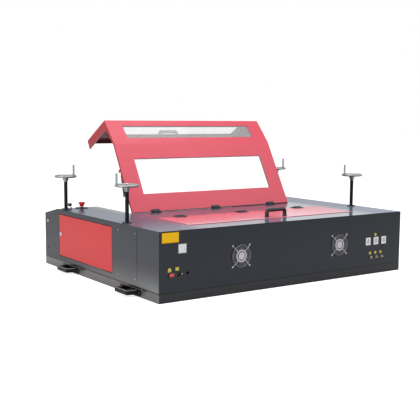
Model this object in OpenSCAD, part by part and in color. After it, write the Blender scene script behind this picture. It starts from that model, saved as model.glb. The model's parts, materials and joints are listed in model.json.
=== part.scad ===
// Upper half of a carbon dioxide laser engraver: an open-bottomed cabinet that stands on the work,
// with a hinged three-panel lid, a laser tube compartment, an XY gantry and four jack screws.
// Inside the modules X runs along the service face, Y from the service face to the operator, Z up.

/* [Cabinet] */
// Length along the service face
body_l = 1620; // [1600:5:1680]
// Depth from the service face to the operator face
body_d = 1290; // [1285:1:1300]
// Height of the flat deck above the floor
body_h = 340; // [336:1:346]
// Height of the operator edge, where the slope ends
edge_h = 302; // [298:1:308]
// Horizontal run of the slope at the operator side
slope_run = 172; // [166:1:178]
// Thickness of the sheet steel
sheet = 2; // [1.6:0.1:2.4]
// Height of the base frame channel
base_h = 46; // [44:1:50]
// Width of the base frame channel
base_w = 50; // [48:1:54]
// Wall of the base frame channel
base_t = 3; // [2.5:0.5:4]
// Shadow gap between the base frame and the panels above it
seam = 2; // [1:0.5:3]
// Height of the lip on the base frame that carries the panels
lip_h = 20; // [15:1:26]

/* [Lid] */
// Width of the lid
lid_w = 1110; // [1100:1:1116]
// Distance of the lid hinge axis from the service face
lid_hinge_y = 691; // [686:1:700]
// Opening angle at which the lid stands
lid_open = 60.5; // [50:0.5:66]
// Height of the apron at the operator side of the lid
apron_h = 250; // [235:1:251]
// Gap round the lid in its opening
lid_gap = 3; // [2.5:0.5:4]
// Depth of the side cheeks along the flat panel
cheek_main = 13; // [11:1:16]
// Depth of the side cheeks along the slope
cheek_slope = 25; // [22:1:28]
// Depth of the side cheeks along the apron
cheek_apron = 60; // [50:1:62]
// Depth of the folded hem along the lower edge of the apron
hem_d = 20; // [16:1:22]
// Width of the lid windows
window_w = 906; // [860:1:920]
// Near edge of the large window, from the hinge axis
window_y0 = 110; // [100:1:120]
// Far edge of the large window, from the hinge axis
window_y1 = 331; // [320:1:340]
// Border of the narrow window along the slope
window_edge = 42; // [38:1:46]
// Border of the apron window along the lower edge of the apron
apron_border = 78; // [70:1:84]
// Thickness of the window panes
pane_t = 3; // [2:0.5:4]
// How far a pane laps over the edge of its window
pane_lap = 14; // [10:1:16]

/* [Tube cover] */
// Width of the laser tube cover
cover_w = 1114; // [1100:1:1118]
// Near edge of the cover, from the service face
cover_y0 = 128; // [120:1:134]
// Hinge axis of the cover, from the service face
cover_hinge_y = 443; // [438:1:448]
// How far the cover laps over the deck
cover_lap = 10; // [8:1:12]
// Depth of the folded edge under the cover
cover_fold = 12; // [10:1:14]

/* [Hinges and handles] */
// Knuckle radius of the lid and cover hinges
knuckle_r = 5; // [4.5:0.5:6]
// Length of one hinge
hinge_w = 56; // [50:1:60]
// Depth of one hinge leaf
leaf_d = 30; // [26:1:34]
// Depth of the hinge leaves on the lid
lid_leaf_d = 14; // [13:1:18]
// Distance between neighbouring hinges
hinge_pitch = 410; // [380:5:420]
// Bar radius of the lid and cover handles
grip_r = 10.5; // [8:0.5:12]
// Distance between the feet of the lid and cover handles
grip_span = 123; // [110:1:132]
// Height of the lid and cover handles
grip_h = 48; // [42:1:54]
// Distance of the first carry handles from the service face
carry_y0 = 268; // [260:1:290]
// Distance of the second carry handles from the service face
carry_y1 = 945; // [935:1:965]
// Length of a carry handle at its feet
carry_l = 150; // [136:2:170]
// Reach of a carry handle beyond the base frame
carry_reach = 58; // [50:1:64]
// Height of a carry handle
carry_h = 20; // [16:1:24]

/* [Side door] */
// Hinged edge of the door, from the service face
door_y0 = 461; // [455:1:470]
// Free edge of the door, from the service face
door_y1 = 1095; // [1085:1:1100]
// Lower edge of the door
door_z0 = 76; // [72:1:80]
// Upper edge of the door
door_z1 = 310; // [300:1:312]
// Gap round the door
door_gap = 3.5; // [3:0.1:4]
// Distance of the door lock from the free edge
lock_inset = 22; // [20:1:26]

/* [Jacks] */
// Radius of the jack screws
screw_r = 10; // [8:0.5:11]
// Distance of the jack screws from the end faces
jack_inset = 35; // [34:0.5:37]
// Distance of the rear jack screws from the service face
jack_y0 = 364; // [355:1:372]
// Distance of the front jack screws from the operator face
jack_front = 212; // [206:1:220]
// Height of the handwheel rims above the floor
wheel_z = 528; // [515:1:540]
// Outer radius of the handwheels
wheel_r = 62.5; // [55:0.5:65]
// Radius of the wheel rim section
rim_r = 7; // [5:0.5:8]
// Length of the crank handle above the rim
crank_l = 56; // [48:1:62]
// Radius of the foot pads
pad_r = 24; // [20:1:26]

/* [Service face] */
// Distance of the fans from the middle
fan_x = 333; // [320:1:345]
// Height of the fan centres
fan_z = 186; // [180:1:192]
// Side of the square fan frames
fan_size = 119; // [116:1:120]
// Distance between the fan screw holes
fan_holes = 105; // [103:0.5:106]
// Distance of the middle power socket from the middle
socket_x = 614; // [600:1:620]
// Distance between neighbouring sockets
socket_pitch = 61.5; // [56:0.5:64]
// Distance of the middle hose fitting from the middle
hose_x = 619; // [610:1:625]
// Distance between neighbouring hose fittings
hose_pitch = 42; // [38:1:46]
// Height of the hose fittings
hose_z = 95; // [93:0.5:99]
// How far the hose fittings stand out
hose_out = 14; // [10:1:18]
// Radius of the cable hole
cable_r = 7; // [6:0.5:8]

/* [Gantry] */
// Height of the laser beam above the floor
optic_z = 262; // [258:1:266]
// Rest position of the gantry, from the service face
gantry_y = 745; // [740:1:752]
// Distance of the Y rails from the middle
rail_x = 640; // [636:1:646]
// Top of the beams that carry the Y rails
rail_z = 205; // [202:1:207]
// Depth of the gantry beam
beam_d = 50; // [44:1:54]
// Height of the gantry beam
beam_h = 54; // [50:1:56]
// Rest position of the laser head, left of the middle
head_x = 430; // [400:1:450]
// Radius of the glass laser tube
tube_r = 30; // [25:1:34]
// Length of the glass laser tube
tube_l = 1120; // [1060:10:1140]
// Distance from the fixed mirror to the near end of the laser tube
muzzle_gap = 40; // [40:1:60]
// Distance of the laser tube from the service face
tube_y = 285; // [275:1:292]
// Height of the tray under the laser tube
tray_z = 76; // [74:1:80]
// Distance of the bulkhead from the service face
bulk_y = 620; // [612:1:624]

/* [Hidden] */
$fn = 48;
// Clearance of a running fit, of a seat between moving pieces, and the overshoot of a cut
run = 0.05;
seat = 0.3;
cut = 1;
// The fittings stand out in front, so the cabinet sits half as far behind the middle
place_y = -body_d / 2 + hose_out / 2;
jack_y1 = body_d - jack_front;
slope_a = atan((body_h - edge_h) / slope_run);
bend_y = body_d - slope_run;
opening_w = lid_w + 2 * lid_gap;
panel_z = base_h + seam;
grey = [0.25, 0.26, 0.28];
dark = [0.09, 0.09, 0.10];
red = [0.82, 0.20, 0.22];
steel = [0.78, 0.79, 0.80];
white = [0.93, 0.93, 0.91];

// Height of the top and of the underside of the deck sheet at a distance y from the service face
function deck_top(y) = y <= bend_y ? body_h : body_h - (y - bend_y) * tan(slope_a);
function deck_under(y) = min(body_h - sheet, deck_top(y) - sheet / cos(slope_a));

module place() { translate([0, place_y, 0]) children(); }

// An outline in (y, z), extruded along X and centred
module along_x(len) { rotate([90, 0, 90]) linear_extrude(len, center = true) children(); }

// An outline in (x, z), extruded from y = 0 towards the operator
module along_y(len) { translate([0, len, 0]) rotate([90, 0, 0]) linear_extrude(len) children(); }

module both_ends() {
    children();
    mirror([1, 0, 0]) children();
}

module rounded_square(w, h, r) {
    square([w - 2 * r, h], center = true);
    square([w, h - 2 * r], center = true);
    for (sx = [-1, 1], sy = [-1, 1]) translate([sx * (w / 2 - r), sy * (h / 2 - r)]) circle(r);
}

// Points of an arc, and the same points mirrored in the X axis and in reverse order
function arc(centre, r, from, to, n = 6) =
    [for (i = [0:n]) centre + r * [cos(from + (to - from) * i / n), sin(from + (to - from) * i / n)]];
function mirrored(points) = [for (i = [len(points) - 1:-1:0]) [points[i].x, -points[i].y]];

// The footprint of the cabinet, drawn in by a distance on every side
module footprint(inset) {
    translate([-body_l / 2 + inset, inset]) square([body_l - 2 * inset, body_d - 2 * inset]);
}

module ring(outer, inner, z0, z1) {
    translate([0, 0, z0]) linear_extrude(z1 - z0) difference() {
        footprint(outer);
        footprint(inner);
    }
}

// ---------------------------------------------------------------- cabinet
// Folded C-channel ring with a lip for the panels and a hole for each jack screw
module base_frame() {
    lip_gap = opening_w + 2 * (sheet + seat);
    color(grey) place() {
        difference() {
            ring(0, base_w, 0, base_h);
            ring(base_t, base_w + cut, base_t, base_h - base_t);
            at_jacks() {
                cylinder(r = screw_r + run, h = base_h + cut);
                translate([0, 0, -cut]) cylinder(r = pad_r + 2, h = base_h / 2);
            }
        }
        difference() {
            ring(sheet, 2 * sheet, base_h, base_h + lip_h);
            translate([-lip_gap / 2, body_d - base_w, base_h]) cube([lip_gap, base_w, lip_h + cut]);
        }
    }
}

// The outline of the folded top sheet
module deck_section() {
    polygon([[0, body_h], [bend_y, body_h], [body_d, edge_h], [body_d, deck_under(body_d)],
        [bend_y - sheet * tan(slope_a / 2), body_h - sheet], [0, body_h - sheet]]);
}

flange_d = 42;
flange_tip = 8;
flange_y = lid_hinge_y - 1 - sheet;
// Folded top sheet with the openings for the lid, the tube cover and what is mounted on it
module deck_panel() {
    color(grey) place() {
        difference() {
            along_x(body_l) deck_section();
            translate([-opening_w / 2, lid_hinge_y - 1, edge_h - 10]) cube([opening_w, body_d, 60]);
            translate([-cover_w / 2 + cover_lap, cover_y0 + cover_lap, body_h - 10])
                cube([cover_w - 2 * cover_lap, cover_hinge_y - cover_y0 - 2 * cover_lap - 3, 20]);
            at_jacks() translate([0, 0, body_h - 10]) cylinder(r = collar_r + run, h = 20);
            translate([estop_at.x, estop_at.y, body_h - 10]) cylinder(r = estop_barrel_r + run, h = 20);
            on_slope(10) translate(key_at) cylinder(r = key_barrel_r + run, h = 20);
            on_slope_strip() translate([0, 0, -10]) linear_extrude(20)
                square([control_w - 24, control_d - 24], center = true);
        }
        // Folded edges of the lid opening, with the pins that carry the struts
        both_ends() {
            translate([opening_w / 2 + sheet / 2, 0, 0]) along_x(sheet)
                polygon([[flange_y, body_h - sheet / 2], [bend_y, body_h - sheet / 2],
                    [body_d - sheet, deck_top(body_d - sheet) - sheet / 2],
                    [body_d - sheet, deck_under(body_d - sheet) - flange_tip],
                    [bend_y, body_h - flange_d], [flange_y, body_h - flange_d]]);
            translate([strut_x - strut_eye_w / 2 - 2, strut_base.x, strut_base.y]) rotate([0, 90, 0])
                cylinder(r = strut_pin_r, h = opening_w / 2 - strut_x + strut_eye_w / 2 + 2 + sheet / 2);
        }
        translate([-opening_w / 2 - sheet / 2, flange_y, body_h - 24])
            cube([opening_w + sheet, sheet, 24 - sheet / 2]);
    }
}

// Service face with its fan holes and the holes for sockets, inlet, fittings and cable
module rear_panel() {
    color(grey) place() along_y(sheet) difference() {
        translate([-body_l / 2, panel_z]) square([body_l, body_h - sheet - panel_z]);
        for (s = [-1, 1]) translate([s * fan_x, fan_z]) {
            circle(r = fan_bore_r);
            for (a = [45:90:315]) rotate(a) translate([fan_holes / sqrt(2), 0]) circle(r = fan_screw_r);
        }
        at_sockets() square([socket_body.x + 2 * seat, socket_body.y + 2 * seat], center = true);
        at_fittings() circle(r = hose_thread_r + run);
        translate(inlet_at) square([inlet_w - 6 + 2 * seat, inlet_h - 6 + 2 * seat], center = true);
        translate([cable_at.x, cable_at.y]) circle(r = cable_r);
    }
}

module side_outline() {
    polygon([[sheet, panel_z], [body_d - sheet, panel_z], [body_d - sheet, deck_under(body_d - sheet)],
        [bend_y - sheet * tan(slope_a / 2), body_h - sheet], [sheet, body_h - sheet]]);
}

module left_panel() {
    door_w = door_y1 - door_y0;
    door_h = door_z1 - door_z0;
    color(grey) place() {
        translate([-body_l / 2 + sheet / 2, 0, 0]) along_x(sheet) difference() {
            side_outline();
            translate([door_y0 - door_gap, door_z0 - door_gap])
                square([door_w + 2 * door_gap, door_h + 2 * door_gap]);
            translate([service_y - service_w / 2 + 15, service_z - service_h / 2 + 15])
                square([service_w - 30, service_h - 30]);
            translate([body_d - 38, 102]) circle(r = 4);
        }
        // Frame folded in round the door opening, with the sockets of the hinge pins
        difference() {
            translate([-body_l / 2 + door_frame_d / 2, 0, 0]) along_x(door_frame_d) difference() {
                translate([door_y0 - door_gap - sheet, door_z0 - door_gap - sheet])
                    square([door_w + 2 * (door_gap + sheet), door_h + 2 * (door_gap + sheet)]);
                translate([door_y0 - door_gap, door_z0 - door_gap])
                    square([door_w + 2 * door_gap, door_h + 2 * door_gap]);
            }
            translate([door_axis.x, door_axis.y, panel_z]) cylinder(r = door_pin_r + run, h = body_h);
        }
    }
}

module right_panel() {
    color(grey) place() translate([body_l / 2 - sheet / 2, 0, 0]) along_x(sheet) difference() {
        side_outline();
        // Louvre slots for the electronics behind this end
        for (i = [0:7]) translate([service_y - 90, 110 + i * 22]) square([180, 6]);
    }
}

// The two narrow panels beside the lid apron, each with its edge folded in
module front_panels() {
    half = opening_w / 2;
    color(grey) place() both_ends() {
        translate([0, body_d - sheet, 0]) along_y(sheet)
            translate([half, panel_z]) square([body_l / 2 - half, deck_under(body_d) - panel_z]);
        translate([half, body_d - 40, panel_z])
            cube([sheet, 40 - sheet, deck_under(body_d) - 2 * flange_tip - 10 - panel_z]);
    }
}

// Partition between the tube compartment and the work area, folded into the tray under the tube
module bulkhead() {
    reach = body_l / 2 - door_frame_d - 6;
    leg = reach - (body_l / 2 - base_w) + 50;
    color(grey) place() {
        translate([0, bulk_y, 0]) along_y(sheet) difference() {
            translate([-reach, base_h]) square([2 * reach, body_h - sheet - base_h]);
            translate([-reach + leg, 0]) square([2 * (reach - leg), tray_z]);
            translate([-mirror_x, optic_z]) circle(r = 14);
        }
        difference() {
            translate([-reach, sheet, tray_z]) cube([2 * reach, bulk_y - sheet / 2, sheet]);
            at_jacks() cylinder(r = screw_r + 4, h = body_h);
        }
    }
}

// Screwed cover over the wiring at the left end
service_y = 306;
service_z = 193;
service_w = 202;
service_h = 254;
service_t = 1;
module service_panel() {
    color(grey) place() translate([-body_l / 2 - service_t / 2, service_y, service_z]) along_x(service_t)
        difference() {
            rounded_square(service_w, service_h, 4);
            for (sy = [-1, 1], sz = [-1, 1])
                translate([sy * (service_w / 2 - 14), sz * (service_h / 2 - 14)]) circle(r = 2.6);
        }
}

// ---------------------------------------------------------------- handles
carry_bar = 18;
carry_slant = 11;
carry_z = 12;
carry_plate = 3;
// Grips on short slanted arms, each on an oval plate against the base frame
module carry_handles() {
    half = carry_bar / 2;
    foot_y = carry_l / 2 - half;
    grip = [half - carry_reach, foot_y - carry_slant];
    arm_a = atan2(-grip.x, -carry_slant);
    foot_w = half * norm([grip.x, carry_slant]) / -grip.x;
    outer = concat([[0, foot_y + foot_w]], arc(grip, half, arm_a, 180));
    bend = (arm_a + 180) / 2;
    corner = grip - half / cos(90 - arm_a / 2) * [cos(bend), sin(bend)];
    heel = [0, foot_y - foot_w];
    plate_h = carry_h + 10;
    color(dark) place() both_ends() for (y = [carry_y0, carry_y1]) translate([-body_l / 2, y, carry_z]) {
        linear_extrude(carry_h)
            polygon(concat(outer, mirrored(outer), mirrored([corner, heel]), [corner, heel]));
        translate([-carry_plate / 2, 0, carry_h / 2]) along_x(carry_plate)
            rounded_square(carry_l + 60, plate_h, plate_h / 2 - 1);
    }
}

// A bar handle whose feet stand at z = 0 and whose bar runs along X
module bar_handle() {
    bend = 14;
    rise = grip_h - grip_r - bend;
    both_ends() {
        translate([grip_span / 2, 0, 0]) {
            cylinder(r = grip_r, h = rise);
            cylinder(r = grip_r + 2.5, h = 4);
        }
        translate([grip_span / 2 - bend, 0, rise]) rotate([90, 0, 0])
            rotate_extrude(angle = 90) translate([bend, 0]) circle(grip_r);
        translate([0, 0, rise + bend]) rotate([0, 90, 0]) cylinder(r = grip_r, h = grip_span / 2 - bend);
    }
}

// ---------------------------------------------------------------- hinges
leaf_t = 3;
hinge_pin_r = 2.5;
hinge_axis_h = knuckle_r + seat;
middle_knuckle = 18;
module hinge_leaf(depth) {
    linear_extrude(leaf_t) translate([0, depth / 2]) rounded_square(hinge_w, depth, 4);
}

// Fixed half of a hinge, on the -Y side, with the pin; the surface under it is z = 0
module hinge_base() {
    difference() {
        union() {
            mirror([0, 1, 0]) hinge_leaf(leaf_d);
            translate([0, 0, hinge_axis_h]) rotate([0, 90, 0])
                cylinder(r = knuckle_r, h = hinge_w - 4, center = true);
        }
        translate([0, 0, hinge_axis_h]) rotate([0, 90, 0])
            cylinder(r = knuckle_r + leaf_t, h = middle_knuckle + 2 * seat, center = true);
    }
    translate([0, 0, hinge_axis_h]) rotate([0, 90, 0])
        cylinder(r = hinge_pin_r, h = hinge_w - 6, center = true);
}

// Moving half of a hinge, on the +Y side, with its leaf the given height above the fixed half's
module hinge_arm(depth, lift = 0) {
    difference() {
        union() {
            difference() {
                translate([0, 0, lift]) hinge_leaf(depth);
                translate([0, 0, hinge_axis_h]) rotate([0, 90, 0])
                    cylinder(r = knuckle_r + 2 * seat, h = hinge_w + cut, center = true);
            }
            translate([-middle_knuckle / 2, 0, lift]) cube([middle_knuckle, knuckle_r + 2, leaf_t]);
            translate([0, 0, hinge_axis_h]) rotate([0, 90, 0])
                cylinder(r = knuckle_r, h = middle_knuckle, center = true);
        }
        translate([0, 0, hinge_axis_h]) rotate([0, 90, 0])
            cylinder(r = hinge_pin_r + run, h = middle_knuckle + cut, center = true);
    }
}

module at_hinges() { for (i = [-1:1]) translate([i * hinge_pitch, 0, 0]) children(); }

module hinge_bases() {
    color(dark) place() {
        translate([0, lid_hinge_y, body_h]) at_hinges() hinge_base();
        translate([0, cover_hinge_y, body_h]) at_hinges() mirror([0, 1, 0]) hinge_base();
    }
}

// ---------------------------------------------------------------- lid
lid_axis = [lid_hinge_y, body_h + hinge_axis_h];
lid_edge_y = lid_hinge_y + 2;

// Turns the closed lid about its hinge axis into its open position
module opened() {
    place() translate([0, lid_axis.x, lid_axis.y]) rotate([lid_open, 0, 0])
        translate([0, -lid_axis.x, -lid_axis.y]) children();
}

// Moves an outline in (x, distance from the bend) into the plane of the slope
module on_slope(depth = 0) {
    translate([0, bend_y, body_h]) rotate([-slope_a, 0, 0]) translate([0, 0, -depth]) children();
}

slope_l = slope_run / cos(slope_a);
apron_z = edge_h - apron_h;
module window_main(grow) {
    translate([-window_w / 2 - grow, lid_hinge_y + window_y0 - grow])
        square([window_w + 2 * grow, window_y1 - window_y0 + 2 * grow]);
}
module window_slope(grow) {
    translate([-window_w / 2 - grow, window_edge - grow])
        square([window_w + 2 * grow, slope_l - 2 * window_edge + 2 * grow]);
}
module window_apron(grow) {
    translate([-window_w / 2 - grow, apron_z + apron_border - grow])
        square([window_w + 2 * grow, apron_h - window_edge - apron_border + 2 * grow]);
}

module lid_section() {
    polygon([[lid_edge_y, body_h], [bend_y, body_h], [body_d, edge_h], [body_d, apron_z],
        [body_d - hem_d, apron_z], [body_d - hem_d, apron_z + sheet],
        [body_d - sheet, apron_z + sheet], [body_d - sheet, deck_under(body_d - sheet)],
        [bend_y - sheet * tan(slope_a / 2), body_h - sheet], [lid_edge_y + sheet, body_h - sheet],
        [lid_edge_y + sheet, body_h - cheek_main], [lid_edge_y, body_h - cheek_main]]);
}

module cheek_section() {
    apron_y = body_d - cheek_apron;
    polygon([[lid_edge_y, body_h], [bend_y, body_h], [body_d, edge_h], [body_d, apron_z],
        [apron_y, apron_z], [apron_y, deck_top(apron_y) - cheek_slope],
        [bend_y, body_h - cheek_main], [lid_edge_y, body_h - cheek_main]]);
    // Lug for the strut
    translate([strut_lid.x, strut_lid.y]) circle(r = strut_lug_r);
    translate([strut_lid.x - strut_lug_r, strut_lid.y])
        square([2 * strut_lug_r, body_h - sheet - strut_lid.y]);
}

// Folded lid sheet of three panels, with a cheek at each end
module lid_shell() {
    color(red) opened() {
        difference() {
            along_x(lid_w) lid_section();
            translate([0, 0, body_h - 10]) linear_extrude(20) window_main(0);
            on_slope(10) linear_extrude(20) window_slope(0);
            translate([0, body_d - 10, 0]) along_y(20) window_apron(0);
        }
        both_ends() {
            translate([lid_w / 2 - sheet / 2, 0, 0]) along_x(sheet) cheek_section();
            translate([strut_x + strut_eye_w / 2 + seat, strut_lid.x, strut_lid.y]) rotate([0, 90, 0])
                cylinder(r = strut_pin_r, h = lid_w / 2 - sheet / 2 - strut_x - strut_eye_w / 2 - seat);
        }
    }
}

module lid_windows() {
    color([0.85, 0.92, 0.95, 0.35]) opened() {
        translate([0, 0, body_h - sheet - pane_t]) linear_extrude(pane_t) window_main(pane_lap);
        on_slope(sheet + pane_t) linear_extrude(pane_t) window_slope(pane_lap);
        translate([0, body_d - sheet - pane_t, 0]) along_y(pane_t) window_apron(pane_lap);
    }
}

module lid_hinge_arms() {
    color(dark) opened() translate([0, lid_hinge_y, body_h]) at_hinges() hinge_arm(lid_leaf_d);
}

module lid_handle() {
    color(dark) opened() translate([0, body_d, apron_z + apron_border / 2]) rotate([-90, 0, 0])
        bar_handle();
}

// ---------------------------------------------------------------- struts
strut_x = 540;
strut_eye_w = 8;
strut_eye_r = 7;
strut_pin_r = 4;
strut_lug_r = 9;
strut_tube_r = 9;
strut_rod_r = 3.5;
strut_tube_l = 146;
// Pivots of the strut in (y, z): on the cabinet, and on the lid when it is closed
strut_base = [lid_hinge_y + 92, body_h - 24];
strut_lid = [lid_hinge_y + 266, body_h - 24];
lid_arm = strut_lid - lid_axis;
strut_top = lid_axis + [lid_arm.x * cos(lid_open) - lid_arm.y * sin(lid_open),
    lid_arm.x * sin(lid_open) + lid_arm.y * cos(lid_open)];
strut_l = norm(strut_top - strut_base);
strut_stroke = strut_l - norm(strut_lid - strut_base);
strut_a = atan2(strut_top.y - strut_base.y, strut_top.x - strut_base.x);

// The strut's own frame: the base pivot at the origin, the strut along +Y
module at_struts() {
    place() for (s = [-1, 1]) translate([s * strut_x, strut_base.x, strut_base.y])
        rotate([strut_a, 0, 0]) children();
}

module strut_tubes() {
    color(dark) at_struts() {
        difference() {
            translate([0, strut_l - strut_eye_r + 1, 0]) rotate([90, 0, 0])
                cylinder(r = strut_tube_r, h = strut_tube_l - strut_eye_r + 1);
            translate([0, strut_l - 2 * strut_eye_r, 0]) rotate([90, 0, 0])
                cylinder(r = strut_rod_r + run, h = strut_tube_l);
            for (s = [-1, 1]) translate([s * (strut_eye_w / 2 + strut_tube_r), strut_l, 0])
                cube([2 * strut_tube_r, 50, 3 * strut_tube_r], center = true);
        }
        translate([0, strut_l, 0]) rotate([0, 90, 0])
            cylinder(r = strut_eye_r, h = strut_eye_w, center = true);
    }
}

module strut_rods() {
    color(steel) at_struts() difference() {
        union() {
            rotate([0, 90, 0]) cylinder(r = strut_eye_r, h = strut_eye_w, center = true);
            rotate([-90, 0, 0]) cylinder(r = strut_rod_r, h = strut_l - strut_stroke - 2 * strut_eye_r - 3);
        }
        rotate([0, 90, 0]) cylinder(r = strut_pin_r + run, h = 4 * strut_eye_w, center = true);
    }
}

// ---------------------------------------------------------------- tube cover
module tube_cover() {
    rear = cover_hinge_y - knuckle_r - 2 * seat;
    fold_w = cover_w / 2 - cover_lap - 1;
    color(red) place() {
        translate([-cover_w / 2, cover_y0, body_h]) cube([cover_w, rear - cover_y0, sheet]);
        translate([0, 0, body_h - cover_fold]) linear_extrude(cover_fold + cut) difference() {
            translate([-fold_w, cover_y0 + cover_lap + 1])
                square([2 * fold_w, rear - cover_y0 - 2 * cover_lap - 2]);
            translate([-fold_w + sheet, cover_y0 + cover_lap + 1 + sheet])
                square([2 * (fold_w - sheet), rear - cover_y0 - 2 * (cover_lap + 1 + sheet)]);
        }
    }
}

module cover_hinge_arms() {
    color(dark) place() translate([0, cover_hinge_y, body_h]) at_hinges()
        mirror([0, 1, 0]) hinge_arm(leaf_d, sheet);
}

module cover_handle() {
    color(dark) place() translate([30, 176, body_h + sheet]) bar_handle();
}

// ---------------------------------------------------------------- side door
door_frame_d = 20;
door_pin_r = 3;
door_fold = 16;
door_axis = [-body_l / 2 + 6, door_y0 + 6];
lock_at = [door_y1 - lock_inset, 200];
lock_r = 8;
module left_door() {
    w = door_y1 - door_y0;
    h = door_z1 - door_z0;
    color(red) place() {
        difference() {
            translate([-body_l / 2 + door_fold / 2, 0, 0]) along_x(door_fold)
                translate([door_y0, door_z0]) square([w, h]);
            translate([-body_l / 2 + sheet + door_fold / 2, 0, 0]) along_x(door_fold)
                translate([door_y0 + sheet, door_z0 + sheet]) square([w - 2 * sheet, h - 2 * sheet]);
            translate([-body_l / 2, lock_at.x, lock_at.y]) rotate([0, 90, 0])
                cylinder(r = lock_r + run, h = 20, center = true);
        }
        for (z = [door_z0 - door_gap - sheet - cut, door_z1 - sheet / 2])
            translate([door_axis.x, door_axis.y, z])
                cylinder(r = door_pin_r, h = door_gap + 1.5 * sheet + cut);
    }
}

module left_lock() {
    inner = door_frame_d + 0.5;
    color(steel) place() translate([-body_l / 2, lock_at.x, lock_at.y]) {
        rotate([0, 90, 0]) {
            translate([0, 0, -3]) difference() {
                cylinder(r = 11, h = 3 - run);
                translate([-1, -5, -cut]) cube([2, 10, 2.5]);
            }
            translate([0, 0, -1]) cylinder(r = lock_r, h = inner + 4);
        }
        translate([inner, -6, -38]) cube([3, 12, 42]);
    }
}

// ---------------------------------------------------------------- jacks
collar_r = 15;
tip_r = 7;
hub_r = 17;
jack_spots = [[-1, jack_y0], [1, jack_y0], [-1, jack_y1], [1, jack_y1]];
crank_turn = [173, 173, 11, 0];
function jack_at(i) = [jack_spots[i].x * (body_l / 2 - jack_inset), jack_spots[i].y, 0];

module at_jacks() { for (i = [0:3]) translate(jack_at(i)) children(); }

module jack_collars() {
    color(dark) place() at_jacks() difference() {
        union() {
            translate([0, 0, body_h]) cylinder(r = 24, h = 4);
            translate([0, 0, body_h - 40]) cylinder(r = collar_r, h = 42);
        }
        cylinder(r = screw_r + run, h = 2 * body_h);
    }
}

module jack_foot(i) {
    color(dark) place() translate(jack_at(i)) difference() {
        union() {
            cylinder(r = pad_r, h = 8);
            cylinder(r = tip_r + 5, h = 20);
        }
        translate([0, 0, 6]) cylinder(r = tip_r + run, h = 20);
    }
}

module jack_screw(i) {
    color(dark) place() translate(jack_at(i)) {
        translate([0, 0, 6 + seat]) cylinder(r = tip_r, h = 20);
        translate([0, 0, 20 + seat]) cylinder(r = screw_r, h = wheel_z - 31 - 20 - seat);
        translate([0, 0, wheel_z - 40]) cylinder(r = screw_r - 2, h = 48);
    }
}

// Wheel with a domed web and a conical hub, and the fixed crank handle that stands on its rim
module handwheel(i) {
    rim = wheel_r - rim_r;
    color(steel) place() translate(jack_at(i) + [0, 0, wheel_z]) rotate(crank_turn[i]) {
        rotate_extrude() polygon([[screw_r - 2 + run, -31], [screw_r + 1, -31], [hub_r, -10], [hub_r, -4],
            [rim, -3], [rim, 3], [rim / 2, 4.5], [hub_r, 5], [hub_r - 3, 6], [screw_r - 2 + run, 6]]);
        rotate_extrude() translate([rim, 0]) circle(r = rim_r);
        translate([rim, 0, 0]) cylinder(r = 5.5, h = rim_r + crank_l);
        translate([rim, 0, rim_r - 1]) cylinder(r = 6.5, h = 5);
    }
}

// ---------------------------------------------------------------- fans
fan_bore_r = 56;
fan_screw_r = 2.2;
fan_d = 38;
fan_pin_r = 4;
fan_hub_r = 30;
blade_r = 54;
module at_fans() { for (s = [-1, 1]) translate([s * fan_x, 0, fan_z]) children(); }

module fan_frames() {
    color(dark) place() at_fans() translate([0, sheet, 0]) {
        along_y(fan_d) difference() {
            rounded_square(fan_size, fan_size, 5);
            circle(r = fan_bore_r);
            for (a = [45:90:315]) rotate(a) translate([fan_holes / sqrt(2), 0]) circle(r = fan_screw_r);
        }
        translate([0, fan_d - 4, 0]) along_y(4) {
            circle(r = fan_hub_r - 2);
            for (a = [90:120:330]) rotate(a) translate([0, -3]) square([fan_bore_r + 1, 6]);
        }
        translate([0, 6, 0]) along_y(fan_d - 8) circle(r = fan_pin_r);
    }
}

module fan_rotor(s) {
    depth = fan_d - 8;
    color(dark) place() translate([s * fan_x, sheet + 4 - seat, fan_z]) {
        difference() {
            along_y(depth) circle(r = fan_hub_r);
            translate([0, 2, 0]) along_y(depth) circle(r = fan_pin_r + run);
        }
        intersection() {
            along_y(depth) circle(r = blade_r);
            for (a = [0:360 / 7:359]) rotate([0, a, 0]) translate([fan_hub_r - 1, depth / 2, 0])
                rotate([38, 0, 0]) translate([0, -14, -1.2]) cube([blade_r, 28, 2.4]);
        }
    }
}

// Wire guard: thin rings and a broad middle ring on four arms that end in screw eyes
guard_wire = 1.3;
guard_disc_r = 19;
module fan_guards() {
    arm_end = fan_holes / sqrt(2);
    color(steel) place() at_fans() rotate([90, 0, 0]) {
        for (r = [38, 44.5, 51, 56]) translate([0, 0, 4.4]) rotate_extrude()
            translate([r, 0]) circle(r = guard_wire);
        translate([0, 0, 2.8]) {
            cylinder(r = guard_disc_r, h = 2);
            difference() {
                cylinder(r = 32, h = 2);
                translate([0, 0, -cut]) cylinder(r = 24, h = 4);
            }
        }
        for (a = [45:90:315]) rotate(a) {
            translate([guard_disc_r - 4, 0, 2.2]) rotate([0, 90, 0])
                cylinder(r = guard_wire, h = arm_end - guard_disc_r + 1);
            translate([arm_end, 0, guard_wire]) rotate_extrude() translate([3.4, 0]) circle(r = guard_wire);
        }
    }
}

// ---------------------------------------------------------------- electrical parts on the service face
socket_body = [30, 36];
module at_sockets() {
    for (i = [-1:1]) translate([socket_x + i * socket_pitch, fan_z]) children();
}

module power_sockets() {
    color(white) place() difference() {
        union() {
            translate([0, -3, 0]) along_y(3) at_sockets() rounded_square(36, 42, 3);
            along_y(24) at_sockets() square(socket_body, center = true);
        }
        translate([0, -3 - cut, 0]) along_y(9) at_sockets() {
            for (s = [-1, 1]) translate([s * 7, -4]) square([3, 9], center = true);
            translate([0, 8]) circle(r = 3);
        }
    }
}

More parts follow.
